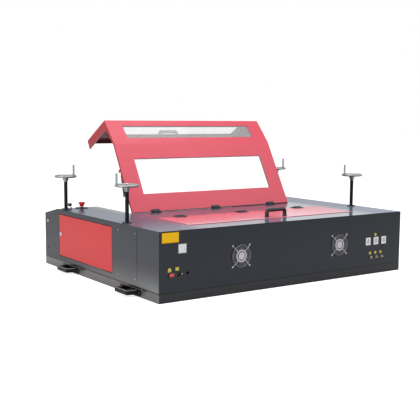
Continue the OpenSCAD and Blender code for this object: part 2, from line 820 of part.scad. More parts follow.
inlet_at = [-body_l / 2 + 86.5, 131];
inlet_w = 71;
inlet_h = 30;
rocker_x = inlet_at.x - 18;
rocker_w = 28;
rocker_h = 15;
rocker_tilt = 8;
plug_x = inlet_at.x + 18.5;
module power_inlet() {
    color(dark) place() {
        difference() {
            union() {
                translate([0, -3, 0]) along_y(3) translate(inlet_at) rounded_square(inlet_w, inlet_h, 3);
                along_y(26) translate(inlet_at) square([inlet_w - 6, inlet_h - 6], center = true);
            }
            translate([rocker_x, -3 - cut, inlet_at.y]) along_y(18)
                square([rocker_w + 2 * seat + 0.8, rocker_h + 2 * seat], center = true);
            translate([plug_x, -3 - cut, inlet_at.y]) along_y(20) intersection() {
                square([24, 17], center = true);
                rotate(45) square(27, center = true);
            }
            translate([rocker_x, 4, inlet_at.y - rocker_h / 2 - 2.5]) cylinder(r = 1.5 + run, h = rocker_h + 5);
        }
        for (x = [-7, 0, 7]) translate([plug_x, 2, inlet_at.y]) along_y(16)
            translate([x, x == 0 ? 3 : -2]) square([2, 5], center = true);
    }
}

module switch_rocker() {
    color([0.85, 0.08, 0.08]) place() translate([rocker_x, 4, inlet_at.y]) rotate([0, 0, rocker_tilt]) {
        translate([0, 0, -rocker_h / 2]) linear_extrude(rocker_h)
            polygon([[-rocker_w / 2 + 1, -8], [0, -6.5], [rocker_w / 2 - 1, -8], [rocker_w / 2 - 1, -4], [4, 4],
                [-4, 4], [-rocker_w / 2 + 1, -4]]);
        translate([0, 0, -rocker_h / 2 - 2]) cylinder(r = 1.5, h = rocker_h + 4);
    }
}

hose_thread_r = 5.5;
cable_at = [-body_l / 2 + 160, 133];
module at_fittings() { for (i = [-1:1]) translate([hose_x + i * hose_pitch, hose_z]) children(); }

// Barbed hose fittings with a hexagonal collar and a nut behind the panel
module hose_fittings() {
    barb = (hose_out - 4) / 2;
    color(steel) place() for (i = [-1:1]) translate([hose_x + i * hose_pitch, 0, hose_z])
        rotate([90, 0, 0]) difference() {
            union() {
                cylinder(r = 8, h = 4, $fn = 6);
                for (k = [0, 1]) translate([0, 0, 4 + k * barb]) cylinder(r1 = 5, r2 = 4, h = barb);
                translate([0, 0, -12]) cylinder(r = hose_thread_r, h = 13);
                translate([0, 0, -sheet - 5]) cylinder(r = 8.5, h = 5, $fn = 6);
            }
            translate([0, 0, -13]) cylinder(r = 2.6, h = hose_out + 14);
        }
}

// ---------------------------------------------------------------- controls on the deck
estop_at = [-body_l / 2 + 139, body_d - 201];
estop_neck_h = 5;
estop_barrel_r = 11;
estop_stem_r = 5;
estop_press = 4;
module estop_base() {
    color(dark) place() translate([estop_at.x, estop_at.y, body_h]) difference() {
        union() {
            cylinder(r = 37, h = 3);
            cylinder(r = 15, h = estop_neck_h);
            translate([0, 0, -34]) cylinder(r = estop_barrel_r, h = 35);
            translate([0, 0, -sheet - 5]) cylinder(r = 16, h = 5, $fn = 6);
        }
        translate([0, 0, -30]) cylinder(r = estop_stem_r + run, h = 60);
    }
}

module estop_button() {
    skirt_z = estop_neck_h + estop_press + 1;
    color([0.85, 0.06, 0.08]) place() translate([estop_at.x, estop_at.y, body_h]) {
        translate([0, 0, -30 + estop_press + 1]) cylinder(r = estop_stem_r, h = 45);
        rotate_extrude() polygon([[0, skirt_z], [13, skirt_z], [13, 22], [18, 23.5], [19, 26], [19, 31],
            [17.5, 33.5], [11, 35.5], [0, 36]]);
    }
}

// Place of the key switch on the slope: from the middle, and from the bend
key_at = [-body_l / 2 + 90, 22];
key_barrel_r = 9.5;
key_stem_r = 2.5;
module key_switch() {
    color(steel) place() on_slope() translate(key_at) difference() {
        union() {
            cylinder(r = 14, h = 2);
            cylinder(r = 12, h = 8);
            translate([0, 0, -30]) cylinder(r = key_barrel_r, h = 31);
            translate([0, 0, -sheet - 4]) cylinder(r = 13, h = 4, $fn = 6);
        }
        translate([0, 0, -22]) cylinder(r = key_stem_r + run, h = 60);
    }
}

module key() {
    color(dark) place() on_slope() translate(key_at) {
        translate([0, 0, -20]) cylinder(r = key_stem_r, h = 34);
        difference() {
            translate([0, 1.5, 0]) rotate([90, 0, 0]) linear_extrude(3) translate([0, 22])
                rounded_square(24, 20, 7);
            translate([0, 0, 27]) rotate([90, 0, 0]) cylinder(r = 2.5, h = 10, center = true);
        }
    }
}

control_w = 196;
control_d = 118;
module on_slope_strip() {
    translate([(opening_w / 2 + body_l / 2) / 2, 0, 0]) on_slope() translate([0, slope_l / 2, 0]) children();
}

// Keypad and display of the controller, let into the slope at the right
module control_panel() {
    color(dark) place() on_slope_strip() {
        difference() {
            linear_extrude(6) rounded_square(control_w, control_d, 8);
            translate([-40, 8, 4]) linear_extrude(5) square([88, 62], center = true);
        }
        translate([0, 0, -18]) linear_extrude(19)
            square([control_w - 24 - 2 * seat, control_d - 24 - 2 * seat], center = true);
        for (ix = [0:2], iy = [0:3]) translate([30 + ix * 24, -36 + iy * 23, 5]) linear_extrude(3)
            rounded_square(18, 15, 3);
    }
}

// ---------------------------------------------------------------- laser tube compartment
mirror_x = rail_x - 30;
tube_x = tube_l / 2 + muzzle_gap - mirror_x;
// Glass tube with a rounded shoulder and a narrow metal head at each end, its axis along X
module laser_tube() {
    half = tube_l / 2;
    head = 9;
    color([0.8, 0.9, 0.95, 0.4]) place() translate([tube_x, tube_y, optic_z]) rotate([0, 90, 0])
        rotate_extrude() polygon([[0, -half], [head, -half], [head, -half + 45], [head + 5, -half + 48],
            [tube_r - 6, -half + 50], [tube_r, -half + 58], [tube_r, half - 58], [tube_r - 6, half - 50],
            [head + 5, half - 48], [head, half - 45], [head, half], [0, half]]);
}

module tube_clamps() {
    w = 24;
    foot = tube_r + 24;
    color([0.2, 0.25, 0.5]) place() for (s = [-1, 1])
        translate([tube_x + s * tube_l * 2 / 7, tube_y, 0]) along_x(w) difference() {
            union() {
                translate([-tube_r - 8, tray_z + sheet]) square([2 * tube_r + 16, optic_z - tray_z - sheet]);
                translate([0, optic_z]) circle(r = tube_r + 8);
                translate([-foot, tray_z + sheet]) square([2 * foot, 6]);
            }
            translate([0, optic_z]) circle(r = tube_r + run);
            translate([0, tray_z + 60]) rounded_square(2 * tube_r - 10, 70, 8);
            for (s = [-1, 1]) translate([s * (tube_r + 8), optic_z]) square([22, 2], center = true);
        }
}

// High-voltage supply with louvres and a terminal strip
module power_supply() {
    box = [300, 120, 118];
    color(steel) place() translate([body_l / 2 - 390, 90, tray_z + sheet]) {
        difference() {
            cube(box);
            for (i = [0:7]) translate([40 + i * 30, -cut, 30]) cube([8, 4, 60]);
        }
        translate([30, box.y - cut, 14]) cube([120, 14, 18]);
        for (x = [-12, box.x - 2]) translate([x, 20, 0]) cube([14, 80, 3]);
    }
}

module fixed_mirror() {
    color(dark) place() translate([-mirror_x, tube_y, 0]) mirror_mount(tray_z + sheet, 45);
}

// A post with a disc mirror that stands at an angle to the X axis, centred on the beam
module mirror_mount(base_z, turn) {
    translate([-22, -22, base_z]) cube([44, 44, 5]);
    rotate(turn) {
        translate([-20, 3, base_z + 4]) cube([40, 6, optic_z - base_z + 16]);
        translate([0, 4, optic_z]) rotate([90, 0, 0]) cylinder(r = 14, h = 4);
    }
}

// ---------------------------------------------------------------- Y axis
beam_w = 40;
rail_w = 15;
rail_h = 12;
belt_x = 598;
belt_w = 10;
belt_z = 185;
pulley_r = 12;
belt_t = 1.5;
shaft_y = 655;
shaft_r = 6;
tension_y = 1235;
y_motor_l = 76;

// Beams from the bulkhead to the operator side with a profile rail and a belt tensioner each
module y_rails() {
    y0 = bulk_y + sheet;
    len = body_d - sheet - y0;
    color(steel) place() both_ends() {
        translate([rail_x - beam_w / 2, y0, rail_z - 55]) cube([beam_w, len, 55]);
        translate([rail_x, y0, rail_z]) along_y(len - 30) difference() {
            translate([-rail_w / 2, 0]) square([rail_w, rail_h]);
            for (s = [-1, 1]) translate([s * rail_w / 2, 6]) circle(r = 2.5);
        }
        difference() {
            translate([belt_x - 13, tension_y - 14, rail_z - 50])
                cube([rail_x - beam_w / 2 - belt_x + 13 + cut, 44, 48]);
            translate([belt_x, 0, 0]) along_x(belt_w + 2) belt_loop(belt_t + 1, 0.5);
        }
        // Bearing block of the cross shaft
        difference() {
            translate([rail_x - beam_w / 2 - 8, shaft_y - 16, rail_z - 50]) cube([9, 32, 46]);
            translate([rail_x, shaft_y, belt_z]) rotate([0, 90, 0])
                cylinder(r = shaft_r + run, h = 80, center = true);
        }
    }
}

// The outline of the belt, grown outwards and inwards
module belt_loop(out, in) {
    difference() {
        belt_shape(pulley_r + out);
        belt_shape(pulley_r - in);
    }
}

module belt_shape(r) {
    for (y = [shaft_y, tension_y]) translate([y, belt_z]) circle(r = r);
    translate([shaft_y, belt_z - r]) square([tension_y - shaft_y, 2 * r]);
}

module y_belts() {
    color(dark) place() both_ends() translate([belt_x, 0, 0]) along_x(belt_w) belt_loop(belt_t, -run);
}

module y_motor() {
    color(dark) place() translate([0, shaft_y, belt_z]) {
        difference() {
            along_x(y_motor_l) intersection() {
                square(56, center = true);
                circle(r = 36);
            }
            rotate([0, 90, 0]) cylinder(r = shaft_r + run, h = 2 * y_motor_l, center = true);
        }
        // Bracket to the bulkhead
        translate([-30, bulk_y + sheet - shaft_y, -30]) cube([60, shaft_y - bulk_y - sheet - 27, 60]);
    }
}

// Cross shaft through the motor with a belt pulley at each end
module y_shaft() {
    color(steel) place() translate([0, shaft_y, belt_z]) rotate([0, 90, 0]) {
        cylinder(r = shaft_r, h = 2 * (rail_x - beam_w / 2 - seat), center = true);
        for (s = [-1, 1]) translate([0, 0, s * belt_x]) {
            cylinder(r = pulley_r, h = belt_w + 2, center = true);
            for (k = [-1, 1]) translate([0, 0, k * (belt_w / 2 + 1)])
                cylinder(r = pulley_r + 3, h = 1.4, center = true);
        }
    }
}

// ---------------------------------------------------------------- gantry
block_l = 60;
block_h = 24;
plate_z = rail_z + block_h + 2;
plate_t = 7;
beam_z0 = plate_z + plate_t;
beam_end = 575;
// Slotted beam with its X rail, the end plates and the rail blocks, as one bolted unit
module gantry_beam() {
    color(steel) place() translate([0, gantry_y, 0]) {
        along_x(2 * beam_end) translate([0, beam_z0 + beam_h / 2]) difference() {
            square([beam_d, beam_h], center = true);
            square([beam_d - 26, beam_h - 26], center = true);
            for (s = [-1, 1]) {
                translate([0, s * beam_h / 2]) square([8, 10], center = true);
                translate([0, s * (beam_h / 2 - 6)]) square([14, 4], center = true);
            }
        }
        along_x(2 * beam_end - 10) translate([beam_d / 2 - cut, x_rail_z - 6]) square([9 + cut, 12]);
        both_ends() {
            translate([beam_end - 15, -40, plate_z]) cube([rail_x + 30 - beam_end + 15, 80, plate_t]);
            difference() {
                translate([rail_x - 17, -block_l / 2, rail_z + 3]) cube([34, block_l, plate_z - rail_z - 2]);
                translate([rail_x, -block_l, rail_z]) along_y(2 * block_l)
                    translate([-rail_w / 2 - seat, -cut]) square([rail_w + 2 * seat, rail_h + cut + seat]);
            }
            // Clamp that holds the belt's upper run
            translate([belt_x - belt_w / 2, -12, belt_z + pulley_r + belt_t + seat])
                cube([belt_w, 24, plate_z - belt_z - pulley_r - belt_t]);
        }
    }
}

x_rail_z = beam_z0 + 20;
module x_motor() {
    side = 56;
    color(dark) place() translate([beam_end, gantry_y, beam_z0]) {
        translate([60 / 2, 0, side / 2]) along_x(60) intersection() {
            square(side, center = true);
            circle(r = 36);
        }
        translate([0, -12, side]) cube([20, 24, 5]);
    }
}

head_reach = 60;
module gantry_mirror() {
    color(dark) place() translate([-mirror_x, gantry_y + head_reach, 0]) {
        translate([0, -14, 0]) translate([-20, -30, plate_z + plate_t]) cube([40, 34, 5]);
        rotate(-135) {
            translate([-18, 3, plate_z + plate_t]) cube([36, 5, optic_z - plate_z - plate_t + 16]);
            translate([0, 4, optic_z]) rotate([90, 0, 0]) cylinder(r = 13, h = 4);
        }
    }
}

// Carriage that runs on the X rail and hangs in front of the beam
module head_carriage() {
    front = gantry_y + beam_d / 2;
    color(steel) place() translate([-head_x, front, 0]) difference() {
        translate([-40, 2, x_rail_z - 22]) cube([80, 14, 44]);
        along_x(100) translate([-cut, x_rail_z - 6 - seat]) square([9 + cut + seat, 12 + 2 * seat]);
    }
}

// Mirror housing, lens tube and nozzle
nozzle_z = 100;
module laser_head() {
    color(dark) place() translate([-head_x, gantry_y + beam_d / 2 + 16, 0]) {
        translate([-24, 0, x_rail_z - 20]) cube([48, 4, 40]);
        translate([0, head_reach - beam_d / 2 - 16, 0]) {
            difference() {
                translate([-20, -17, optic_z - 22]) cube([40, 34, 42]);
                translate([-30, 0, optic_z]) rotate([0, 90, 0]) cylinder(r = 7, h = 30);
                translate([20, -20, optic_z + 20]) rotate([0, 45, 0]) cube([20, 60, 20], center = true);
            }
            translate([0, 0, 150]) cylinder(r = 14, h = optic_z - 170);
            translate([0, 0, 165]) cylinder(r = 17, h = 14);
            translate([0, 0, 128]) cylinder(r = 11, h = 23);
            translate([0, 0, nozzle_z]) cylinder(r1 = 4, r2 = 11, h = 28);
        }
    }
}

base_frame();
deck_panel();
rear_panel();
left_panel();
right_panel();
front_panels();
bulkhead();
service_panel();
carry_handles();
fan_frames();
fan_guards();
power_sockets();
power_inlet();
hose_fittings();
estop_base();
key_switch();
control_panel();
laser_tube();
tube_clamps();
power_supply();
y_rails();
y_motor();
y_belts();
fixed_mirror();
jack_collars();
hinge_bases();
lid_shell();
lid_windows();
lid_hinge_arms();
lid_handle();
strut_tubes();
strut_rods();
tube_cover();
cover_hinge_arms();
cover_handle();
left_door();
left_lock();
fan_rotor(-1);  // fan_rotor_1
fan_rotor(1);  // fan_rotor_2
estop_button();
switch_rocker();
key();
gantry_beam();
x_motor();
gantry_mirror();
head_carriage();
laser_head();
y_shaft();
jack_foot(0);  // jack_foot_1
jack_foot(1);  // jack_foot_2
jack_foot(2);  // jack_foot_3
jack_foot(3);  // jack_foot_4
jack_screw(0);  // jack_screw_1
jack_screw(1);  // jack_screw_2
jack_screw(2);  // jack_screw_3
jack_screw(3);  // jack_screw_4
handwheel(0);  // handwheel_1
handwheel(1);  // handwheel_2
handwheel(2);  // handwheel_3
handwheel(3);  // handwheel_4
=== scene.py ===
"""Looks of an open-bottomed laser engraver: finishes, fasteners, plates, seals, trims and the stage.

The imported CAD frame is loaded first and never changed. Each operator below finishes CAD nodes or adds
pieces worked out with numpy, in metres and in the frame's own axes: X along the service face, Y towards
the operator, Z up.
"""

import json
import math

import bpy
import numpy as np
from bpy.props import FloatProperty, FloatVectorProperty, PointerProperty
from mathutils import Matrix, Vector


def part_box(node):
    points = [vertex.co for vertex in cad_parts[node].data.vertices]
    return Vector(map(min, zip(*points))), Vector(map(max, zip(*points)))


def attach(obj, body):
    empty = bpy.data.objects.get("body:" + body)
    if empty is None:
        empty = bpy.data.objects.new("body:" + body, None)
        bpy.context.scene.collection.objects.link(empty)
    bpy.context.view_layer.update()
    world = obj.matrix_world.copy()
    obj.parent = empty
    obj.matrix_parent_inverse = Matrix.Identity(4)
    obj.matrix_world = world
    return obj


bl_info = {
    "name": "Laser engraver looks",
    "version": (1, 0, 0),
    "blender": (4, 5, 0),
    "location": "3D View > Sidebar > Engraver",
    "description": "Finishes, fasteners, plates and stage of an open-bottomed laser engraver",
    "category": "Object",
}

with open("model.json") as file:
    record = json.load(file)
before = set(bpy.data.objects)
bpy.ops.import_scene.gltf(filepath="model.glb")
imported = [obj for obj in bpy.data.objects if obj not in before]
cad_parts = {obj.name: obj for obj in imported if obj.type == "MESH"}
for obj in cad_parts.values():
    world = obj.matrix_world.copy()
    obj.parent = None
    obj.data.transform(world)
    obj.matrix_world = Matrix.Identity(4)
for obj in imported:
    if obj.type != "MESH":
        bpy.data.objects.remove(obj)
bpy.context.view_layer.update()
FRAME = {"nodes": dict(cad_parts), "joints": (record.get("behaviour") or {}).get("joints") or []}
MM = 0.001
X, Y, Z = np.eye(3)


# ---------------------------------------------------------------- places in the frame
def low(node):
    """Lowest corner of a CAD node."""
    return np.array(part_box(node)[0])


def high(node):
    """Highest corner of a CAD node."""
    return np.array(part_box(node)[1])


def middle(node):
    """Centre of a CAD node's box."""
    return (low(node) + high(node)) / 2


def joint(name):
    """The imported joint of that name."""
    return next(j for j in FRAME["joints"] if j["name"] == name)


def turned_about_x(angle):
    """The rotation about the X axis by an angle, as a matrix."""
    c, s = math.cos(angle), math.sin(angle)
    return np.array([[1, 0, 0], [0, c, -s], [0, s, c]])


SHEET = 2 * MM
HINGE_LEAF = 3 * MM
LEFT, SERVICE, FLOOR = low("base_frame")
RIGHT, OPERATOR, _ = high("base_frame")
DECK = high("rear_panel")[2] + SHEET
EDGE = high("front_panels")[2] + SHEET  # where the slope ends, over the operator side
BEND = OPERATOR - 172 * MM  # where the slope begins
HINGE = np.array(joint("lid_hinge")["pos_m"])
LID_TURN = turned_about_x(-math.radians(joint("lid_hinge")["range_deg"][0]))
HINGE_PLACES = (-410, 0, 410)  # middles of the lid's and cover's hinges, in millimetres along X
HANDLE_PLACES = (268, 945)  # middles of the carry handles, in millimetres from the service face
FAN_HOLES = 105 * MM  # spacing of the screw holes of a 120 mm fan
WINDOW_WIDTH = 906 * MM


def lid_point(points):
    """Points given on the closed lid, turned about the hinge axis to where the open lid holds them."""
    return (np.asarray(points, float) - HINGE) @ LID_TURN.T + HINGE


def on_service_face(x, z):
    """A point on the service face, in millimetres from its lower left corner."""
    return np.array([LEFT + x * MM, SERVICE, FLOOR + z * MM])


def on_left_end(y, z):
    """A point on the left end, in millimetres from the service face and from the floor."""
    return np.array([LEFT, SERVICE + y * MM, FLOOR + z * MM])


# ---------------------------------------------------------------- shader expressions
class Term:
    """A value that leaves a shader node. Arithmetic on it adds Math nodes."""

    def __init__(self, shader, socket):
        self.shader = shader
        self.socket = socket

    def math(self, operation, *terms):
        values = dict(enumerate(terms))
        return self.shader.node("Math", {"operation": operation}, values)

    def __add__(self, other):
        return self.math("ADD", self, other)

    def __sub__(self, other):
        return self.math("SUBTRACT", self, other)

    def __mul__(self, other):
        return self.math("MULTIPLY", self, other)

    def __truediv__(self, other):
        return self.math("DIVIDE", self, other)

    def __rsub__(self, other):
        return self.math("SUBTRACT", other, self)

    def __pow__(self, other):
        return self.math("POWER", self, other)

    def __gt__(self, other):
        return self.math("GREATER_THAN", self, other)

    def __lt__(self, other):
        return self.math("LESS_THAN", self, other)

    def clamped(self):
        return self.math("MINIMUM", self.math("MAXIMUM", self, 0.0), 1.0)

    def sin(self):
        return self.math("SINE", self)

    def abs(self):
        return self.math("ABSOLUTE", self)

    def sqrt(self):
        return self.math("SQRT", self)

    __radd__ = __add__
    __rmul__ = __mul__


class Shader:
    """One material under construction."""

    def __init__(self, name):
        self.material = bpy.data.materials.new(name)
        self.material.use_nodes = True
        self.tree = self.material.node_tree
        self.tree.nodes.clear()
        self.place = self.node("TexCoord", output="Object")
        split = self.node("SeparateXYZ", values={0: self.place}).socket.node
        self.x, self.y, self.z = (Term(self, out) for out in split.outputs)

    def node(self, kind, settings=None, values=None, output=0):
        """Adds a node: its settings first, then its sockets' values or links. Returns one output."""
        made = self.tree.nodes.new("ShaderNode" + kind)
        for key, value in (settings or {}).items():
            setattr(made, key, value)
        for key, value in (values or {}).items():
            if isinstance(value, Term):
                self.tree.links.new(value.socket, made.inputs[key])
            else:
                made.inputs[key].default_value = value
        return Term(self, made.outputs[output])

    def noise(self, scale, detail=3.0, roughness=0.55, stretch=(1, 1, 1)):
        """Fractal noise on the object's own coordinates, with its cells stretched along the axes."""
        place = self.node("Mapping", values={"Vector": self.place, "Scale": stretch})
        values = {"Vector": place, "Scale": scale, "Detail": detail, "Roughness": roughness}
        return self.node("TexNoise", values=values)

    def cells(self, scale):
        """Distance to the nearest point of a scattered set, as in a moulded grain."""
        return self.node("TexVoronoi", values={"Vector": self.place, "Scale": scale})

    def distance(self, centre, axes):
        """Distance from a centre, measured over the named axes only."""
        total = 0.0
        for axis in axes:
            offset = getattr(self, axis) - float(centre["xyz".index(axis)])
            total = offset * offset + total
        return total.sqrt()

    def blend(self, factor, first, second):
        """First colour where the factor is 0, second where it is 1.

        A Mix node's colours are its inputs 6 and 7 and its output 2."""
        values = {0: factor, 6: rgba(first), 7: rgba(second)}
        return self.node("Mix", {"data_type": "RGBA"}, values, output=2)

    def bump(self, height, distance, **others):
        """A normal tilted by a height that is given in units of the distance, in metres."""
        return self.node("Bump", values={"Height": height, "Distance": distance, **others})

    def finish(self, colour, roughness, **sockets):
        """Ends the material in a Principled shader and returns it."""
        values = {"Base Color": rgba(colour), "Roughness": roughness}
        values.update({name.replace("_", " "): value for name, value in sockets.items()})
        return self.end(self.node("BsdfPrincipled", values=values))

    def end(self, surface):
        """Links a shader to the material's output."""
        output = self.tree.nodes.new("ShaderNodeOutputMaterial")
        self.tree.links.new(surface.socket, output.inputs["Surface"])
        return self.material


def rgba(colour):
    """A colour as four numbers, or a link left as it is."""
    return colour if isinstance(colour, Term) else (*colour, 1.0)[:4]


def shade(colour, factor):
    """A colour made darker or lighter."""
    return tuple(min(1.0, c * factor) for c in colour)


# ---------------------------------------------------------------- finishes
def sprayed(s, roughness, grain, depth):
    """The skin of a sprayed coat: fine pebbles over sheet steel that is very slightly wavy.

    Returns the mottle of its colour, its roughness and its normal."""
    waves = s.noise(5.0, 2.0)
    dust = s.noise(24.0, 5.0, 0.7)
    pebbles = s.bump(s.noise(grain, 2.0), depth * MM)
    normal = s.bump(waves, 0.5 * MM, Strength=0.6, Normal=pebbles)
    return dust * 0.5 + waves * 0.3, dust * 0.10 + (roughness - 0.05), normal


def mottled(s, mottle, colour):
    """A coat's colour, a little darker and paler by the mottle."""
    return s.blend(mottle, shade(colour, 0.86), shade(colour, 1.18))


def powder_coat(name, colour, roughness, grain=900.0, depth=0.05, over=(), level=0.5):
    """Sprayed coat. Each entry of over is a function of the shader that gives a mask, and its colour."""
    s = Shader(name)
    mottle, rough, normal = sprayed(s, roughness, grain, depth)
    tone = mottled(s, mottle, colour)
    for mask, other in over:
        tone = s.blend(mask(s), tone, other)
    return s.finish(tone, rough, Normal=normal, Coat_Roughness=0.06,
                    Specular_Tint=(0.80, 0.88, 1.0, 1.0), Specular_IOR_Level=level)


def deck_finish(name, colour, roughness):
    """The cabinet's coat on the deck: a painted bluish sheen at grazing angles, stronger towards the service
    face.

    The middle of the deck is polished, and the polish fades out towards each end."""
    s = Shader(name)
    mottle, rough, normal = sprayed(s, roughness, 900.0, 0.05)
    facing = s.node("LayerWeight", values={"Blend": 0.5}, output="Facing")
    polish = (facing * 1.25).clamped() ** 2
    service_side_sheen = 1.0 - (s.y - float(SERVICE)) / float(OPERATOR - SERVICE)
    ends = ((s.x.abs() - 520 * MM) / (120 * MM)).clamped()
    # Painted sheen: a bluish colour at grazing angles that stands for reflected light, stronger towards the
    # service face.
    painted_sheen = s.blend(service_side_sheen, (0.0, 0.02, 0.08), (0.18, 0.24, 0.35))
    tone = s.blend(facing ** 4, mottled(s, mottle, colour), painted_sheen)
    return s.finish(tone, rough, Normal=normal, Coat_Weight=(0.6 - ends * 0.6) * polish + 0.05,
                    Coat_Roughness=0.08, Specular_IOR_Level=0.03)


def cover_finish(name, colour, roughness):
    """The lid's coat on the tube cover: painted sheen, brighter at grazing angles, with a painted pale
    reflection at the service face.

    The painted sheen is darker towards the right, and the coat is less polished there."""
    s = Shader(name)
    mottle, rough, normal = sprayed(s, roughness, 420.0, 0.02)
    facing = s.node("LayerWeight", values={"Blend": 0.5}, output="Facing")
    sheen = (facing * 1.25).clamped() ** 2
    front = (0.75 - (s.y - float(SERVICE)) * 1.6).clamped()
    along = (s.x - float(LEFT)) / float(RIGHT - LEFT)
    # Painted sheen: the lid's red made brighter at grazing angles, and darker towards the right.
    bright = s.blend(mottle, shade(colour, 1.29), shade(colour, 1.77))
    bright = s.blend(((along - 0.35) * 1.6).clamped(), bright, shade(colour, 0.68))
    tone = s.blend(sheen, mottled(s, mottle, colour), bright)
    # Painted reflection: a pale colour at grazing angles near the service face.
    tone = s.blend(facing ** 4 * front, tone, (0.55, 0.57, 0.72))
    return s.finish(tone, rough, Normal=normal, Coat_Roughness=0.07,
                    Coat_Weight=(1.48 - along * 1.93).clamped() * (sheen * 0.85 + 0.15))


def under_panels(s, depth):
    """Mask of what lies deeper than that under all three panels of the open lid.

    The distance under a panel is the offset from a point on it times its normal on the open lid."""
    corner = lid_point((0, BEND, DECK))
    edge = lid_point((0, OPERATOR, EDGE))
    slope = math.atan2(DECK - EDGE, OPERATOR - BEND)
    mask = 1.0
    for point, normal in ((corner, (0, 0, 1)), (corner, (0, math.sin(slope), math.cos(slope))),
                          (edge, (0, 1, 0))):
        _, b, c = LID_TURN @ normal
        height = (s.y - float(point[1])) * float(b) + (s.z - float(point[2])) * float(c)
        mask = (height < -depth) * mask
    return mask


def lid_ends(s):
    """The planes of the cheeks' outer faces, at both ends of the lid."""
    return s.x.abs() > high("lid_shell")[0] - 0.5 * MM


# Mask where the lid's red gives way to the painted shade of its inner faces.
def lid_inside(s):
    """The lid's inner faces: under the panels by more than their outer skin, and between the cheeks."""
    return under_panels(s, 1 * MM) * (1.0 - lid_ends(s))


def cheek_face(s):
    """The outer faces of the cheeks."""
    return under_panels(s, 0.5 * MM) * lid_ends(s)


def cheek_foot(s):
    """The outer faces of the cheeks away from the panels, where their painted shade is darker still."""
    return under_panels(s, 37 * MM) * lid_ends(s)


def end_foot(s):
    """Mask of painted light on the end panel's lower part, stronger towards the service face."""
    low_down = ((float(FLOOR) + 190 * MM - s.z) / (130 * MM)).clamped()
    return low_down ** 2 * (1.0 - (s.y - float(SERVICE)) / (1100 * MM)).clamped()


def rail_finish(name, colour, roughness):
    """The base rail's coat: painted shade in the joint under the panels, and painted light with a clear coat
    on the left end.
    """
    s = Shader(name)
    dust = s.noise(24.0, 5.0, 0.7)
    # Painted light: a lighter colour on the rail's left end face.
    painted_light = s.x < float(LEFT) + 1 * MM
    tone = s.blend(dust, shade(colour, 0.9), shade(colour, 1.15))
    tone = s.blend(painted_light, tone, (0.072, 0.076, 0.072))
    # Painted shade: near black along the rail's top, in the joint under the panels.
    tone = s.blend(s.z > float(FLOOR) + 41 * MM, tone, (0.002, 0.002, 0.002))
    return s.finish(tone, dust * 0.10 + (roughness - 0.05), Normal=s.bump(s.noise(900.0, 2.0), 0.05 * MM),
                    Coat_Weight=painted_light * 0.7, Coat_Roughness=0.1, Specular_IOR_Level=0.42)


def moulded(name, colour, roughness=0.45, grain=650.0, depth=0.08, level=0.5):
    """Moulded plastic with a fine leather-like grain."""
    s = Shader(name)
    cloud = s.noise(40.0, 4.0)
    tone = s.blend(cloud, shade(colour, 0.8), shade(colour, 1.25))
    return s.finish(tone, cloud * 0.15 + (roughness - 0.07), Normal=s.bump(s.cells(grain), depth * MM),
                    Specular_IOR_Level=level)


def brushed(name, colour, roughness, stretch=(1, 1, 0.02), grain=900.0):
    """Metal brushed along one axis: noise drawn out into streaks."""
    s = Shader(name)
    streaks = s.noise(grain, 3.0, 0.6, stretch)
    cloud = s.noise(18.0, 3.0)
    tone = s.blend(streaks * 0.6 + cloud * 0.4, shade(colour, 0.78), shade(colour, 1.12))
    rough = streaks * 0.18 + (roughness - 0.09)
    return s.finish(tone, rough, Metallic=1.0, Normal=s.bump(streaks, 0.02 * MM))


def polished(name, colour, roughness):
    """Cast metal ground and polished: a soft pitted skin under a bright surface."""
    s = Shader(name)
    pits = s.noise(260.0, 4.0, 0.6)
    cloud = s.noise(30.0, 3.0)
    tone = s.blend(cloud, shade(colour, 0.82), shade(colour, 1.1))
    return s.finish(tone, pits * 0.2 + (roughness - 0.08), Metallic=1.0, Normal=s.bump(pits, 0.04 * MM))


def threaded(name, colour, pitch):
    """Blackened screw: a thread cut as a wave along Z, with bright wear on its crests."""
    s = Shader(name)
    wave = (s.z * (2 * math.pi / pitch)).sin()
    crest = (wave > 0.82) * s.noise(300.0, 3.0)
    tone = s.blend(crest * 0.2, colour, (0.08, 0.08, 0.09))
    return s.finish(tone, 0.36 - crest * 0.1, Normal=s.bump(wave, 0.25 * MM), Specular_IOR_Level=0.12)


def clear_pane(name, colour, clearness):
    """Clear sheet: see-through face on, and more reflecting towards grazing angles."""
    s = Shader(name)
    edge = s.node("LayerWeight", values={"Blend": 0.25}, output="Facing")
    smear = s.noise(6.0, 4.0)
    alpha = edge * 0.25 + (1.0 - clearness) + smear * 0.02
    return s.finish(colour, 0.04, Alpha=alpha, Specular_IOR_Level=0.6)


def rubber(name, colour, pitch):
    """Toothed rubber: ribs across the belt at an even pitch along Y."""
    s = Shader(name)
    ribs = (s.y * (2 * math.pi / pitch)).sin()
    tone = s.blend(s.noise(200.0), colour, shade(colour, 1.8))
    return s.finish(tone, 0.7, Normal=s.bump(ribs, 0.4 * MM))


def guard_finish(name, centres):
    """Chromed guard with painted shade on its outer rings: bright within the middle ring, on the arms and the
    eyes.
    """
    s = Shader(name)
    ring = grooves = 0.0
    groove_rate = 1700.0  # radians of the wave to a metre: one groove every 3.7 mm
    for centre in centres:
        radius = s.distance(centre, "xz")
        across = (s.x - float(centre[0])).abs() - (s.z - float(centre[2])).abs()
        arm = across.abs() < 3.4 * MM
        # Painted shade: the outer rings take a dark, less metallic colour.
        ring = (radius > 34 * MM) * (radius < 60 * MM) * (1.0 - arm) + ring
        grooves = ((radius * groove_rate).sin() * 0.5 + 0.5) * (radius < 33 * MM) + grooves
    bright = s.blend(grooves * 0.55, (0.60, 0.57, 0.62), (0.26, 0.25, 0.27))
    colour = s.blend(ring, bright, (0.19, 0.19, 0.21))
    return s.finish(colour, 0.34 + ring * 0.1, Metallic=0.9 - ring * 0.5,
                    Normal=s.bump(s.noise(600.0), 0.03 * MM))


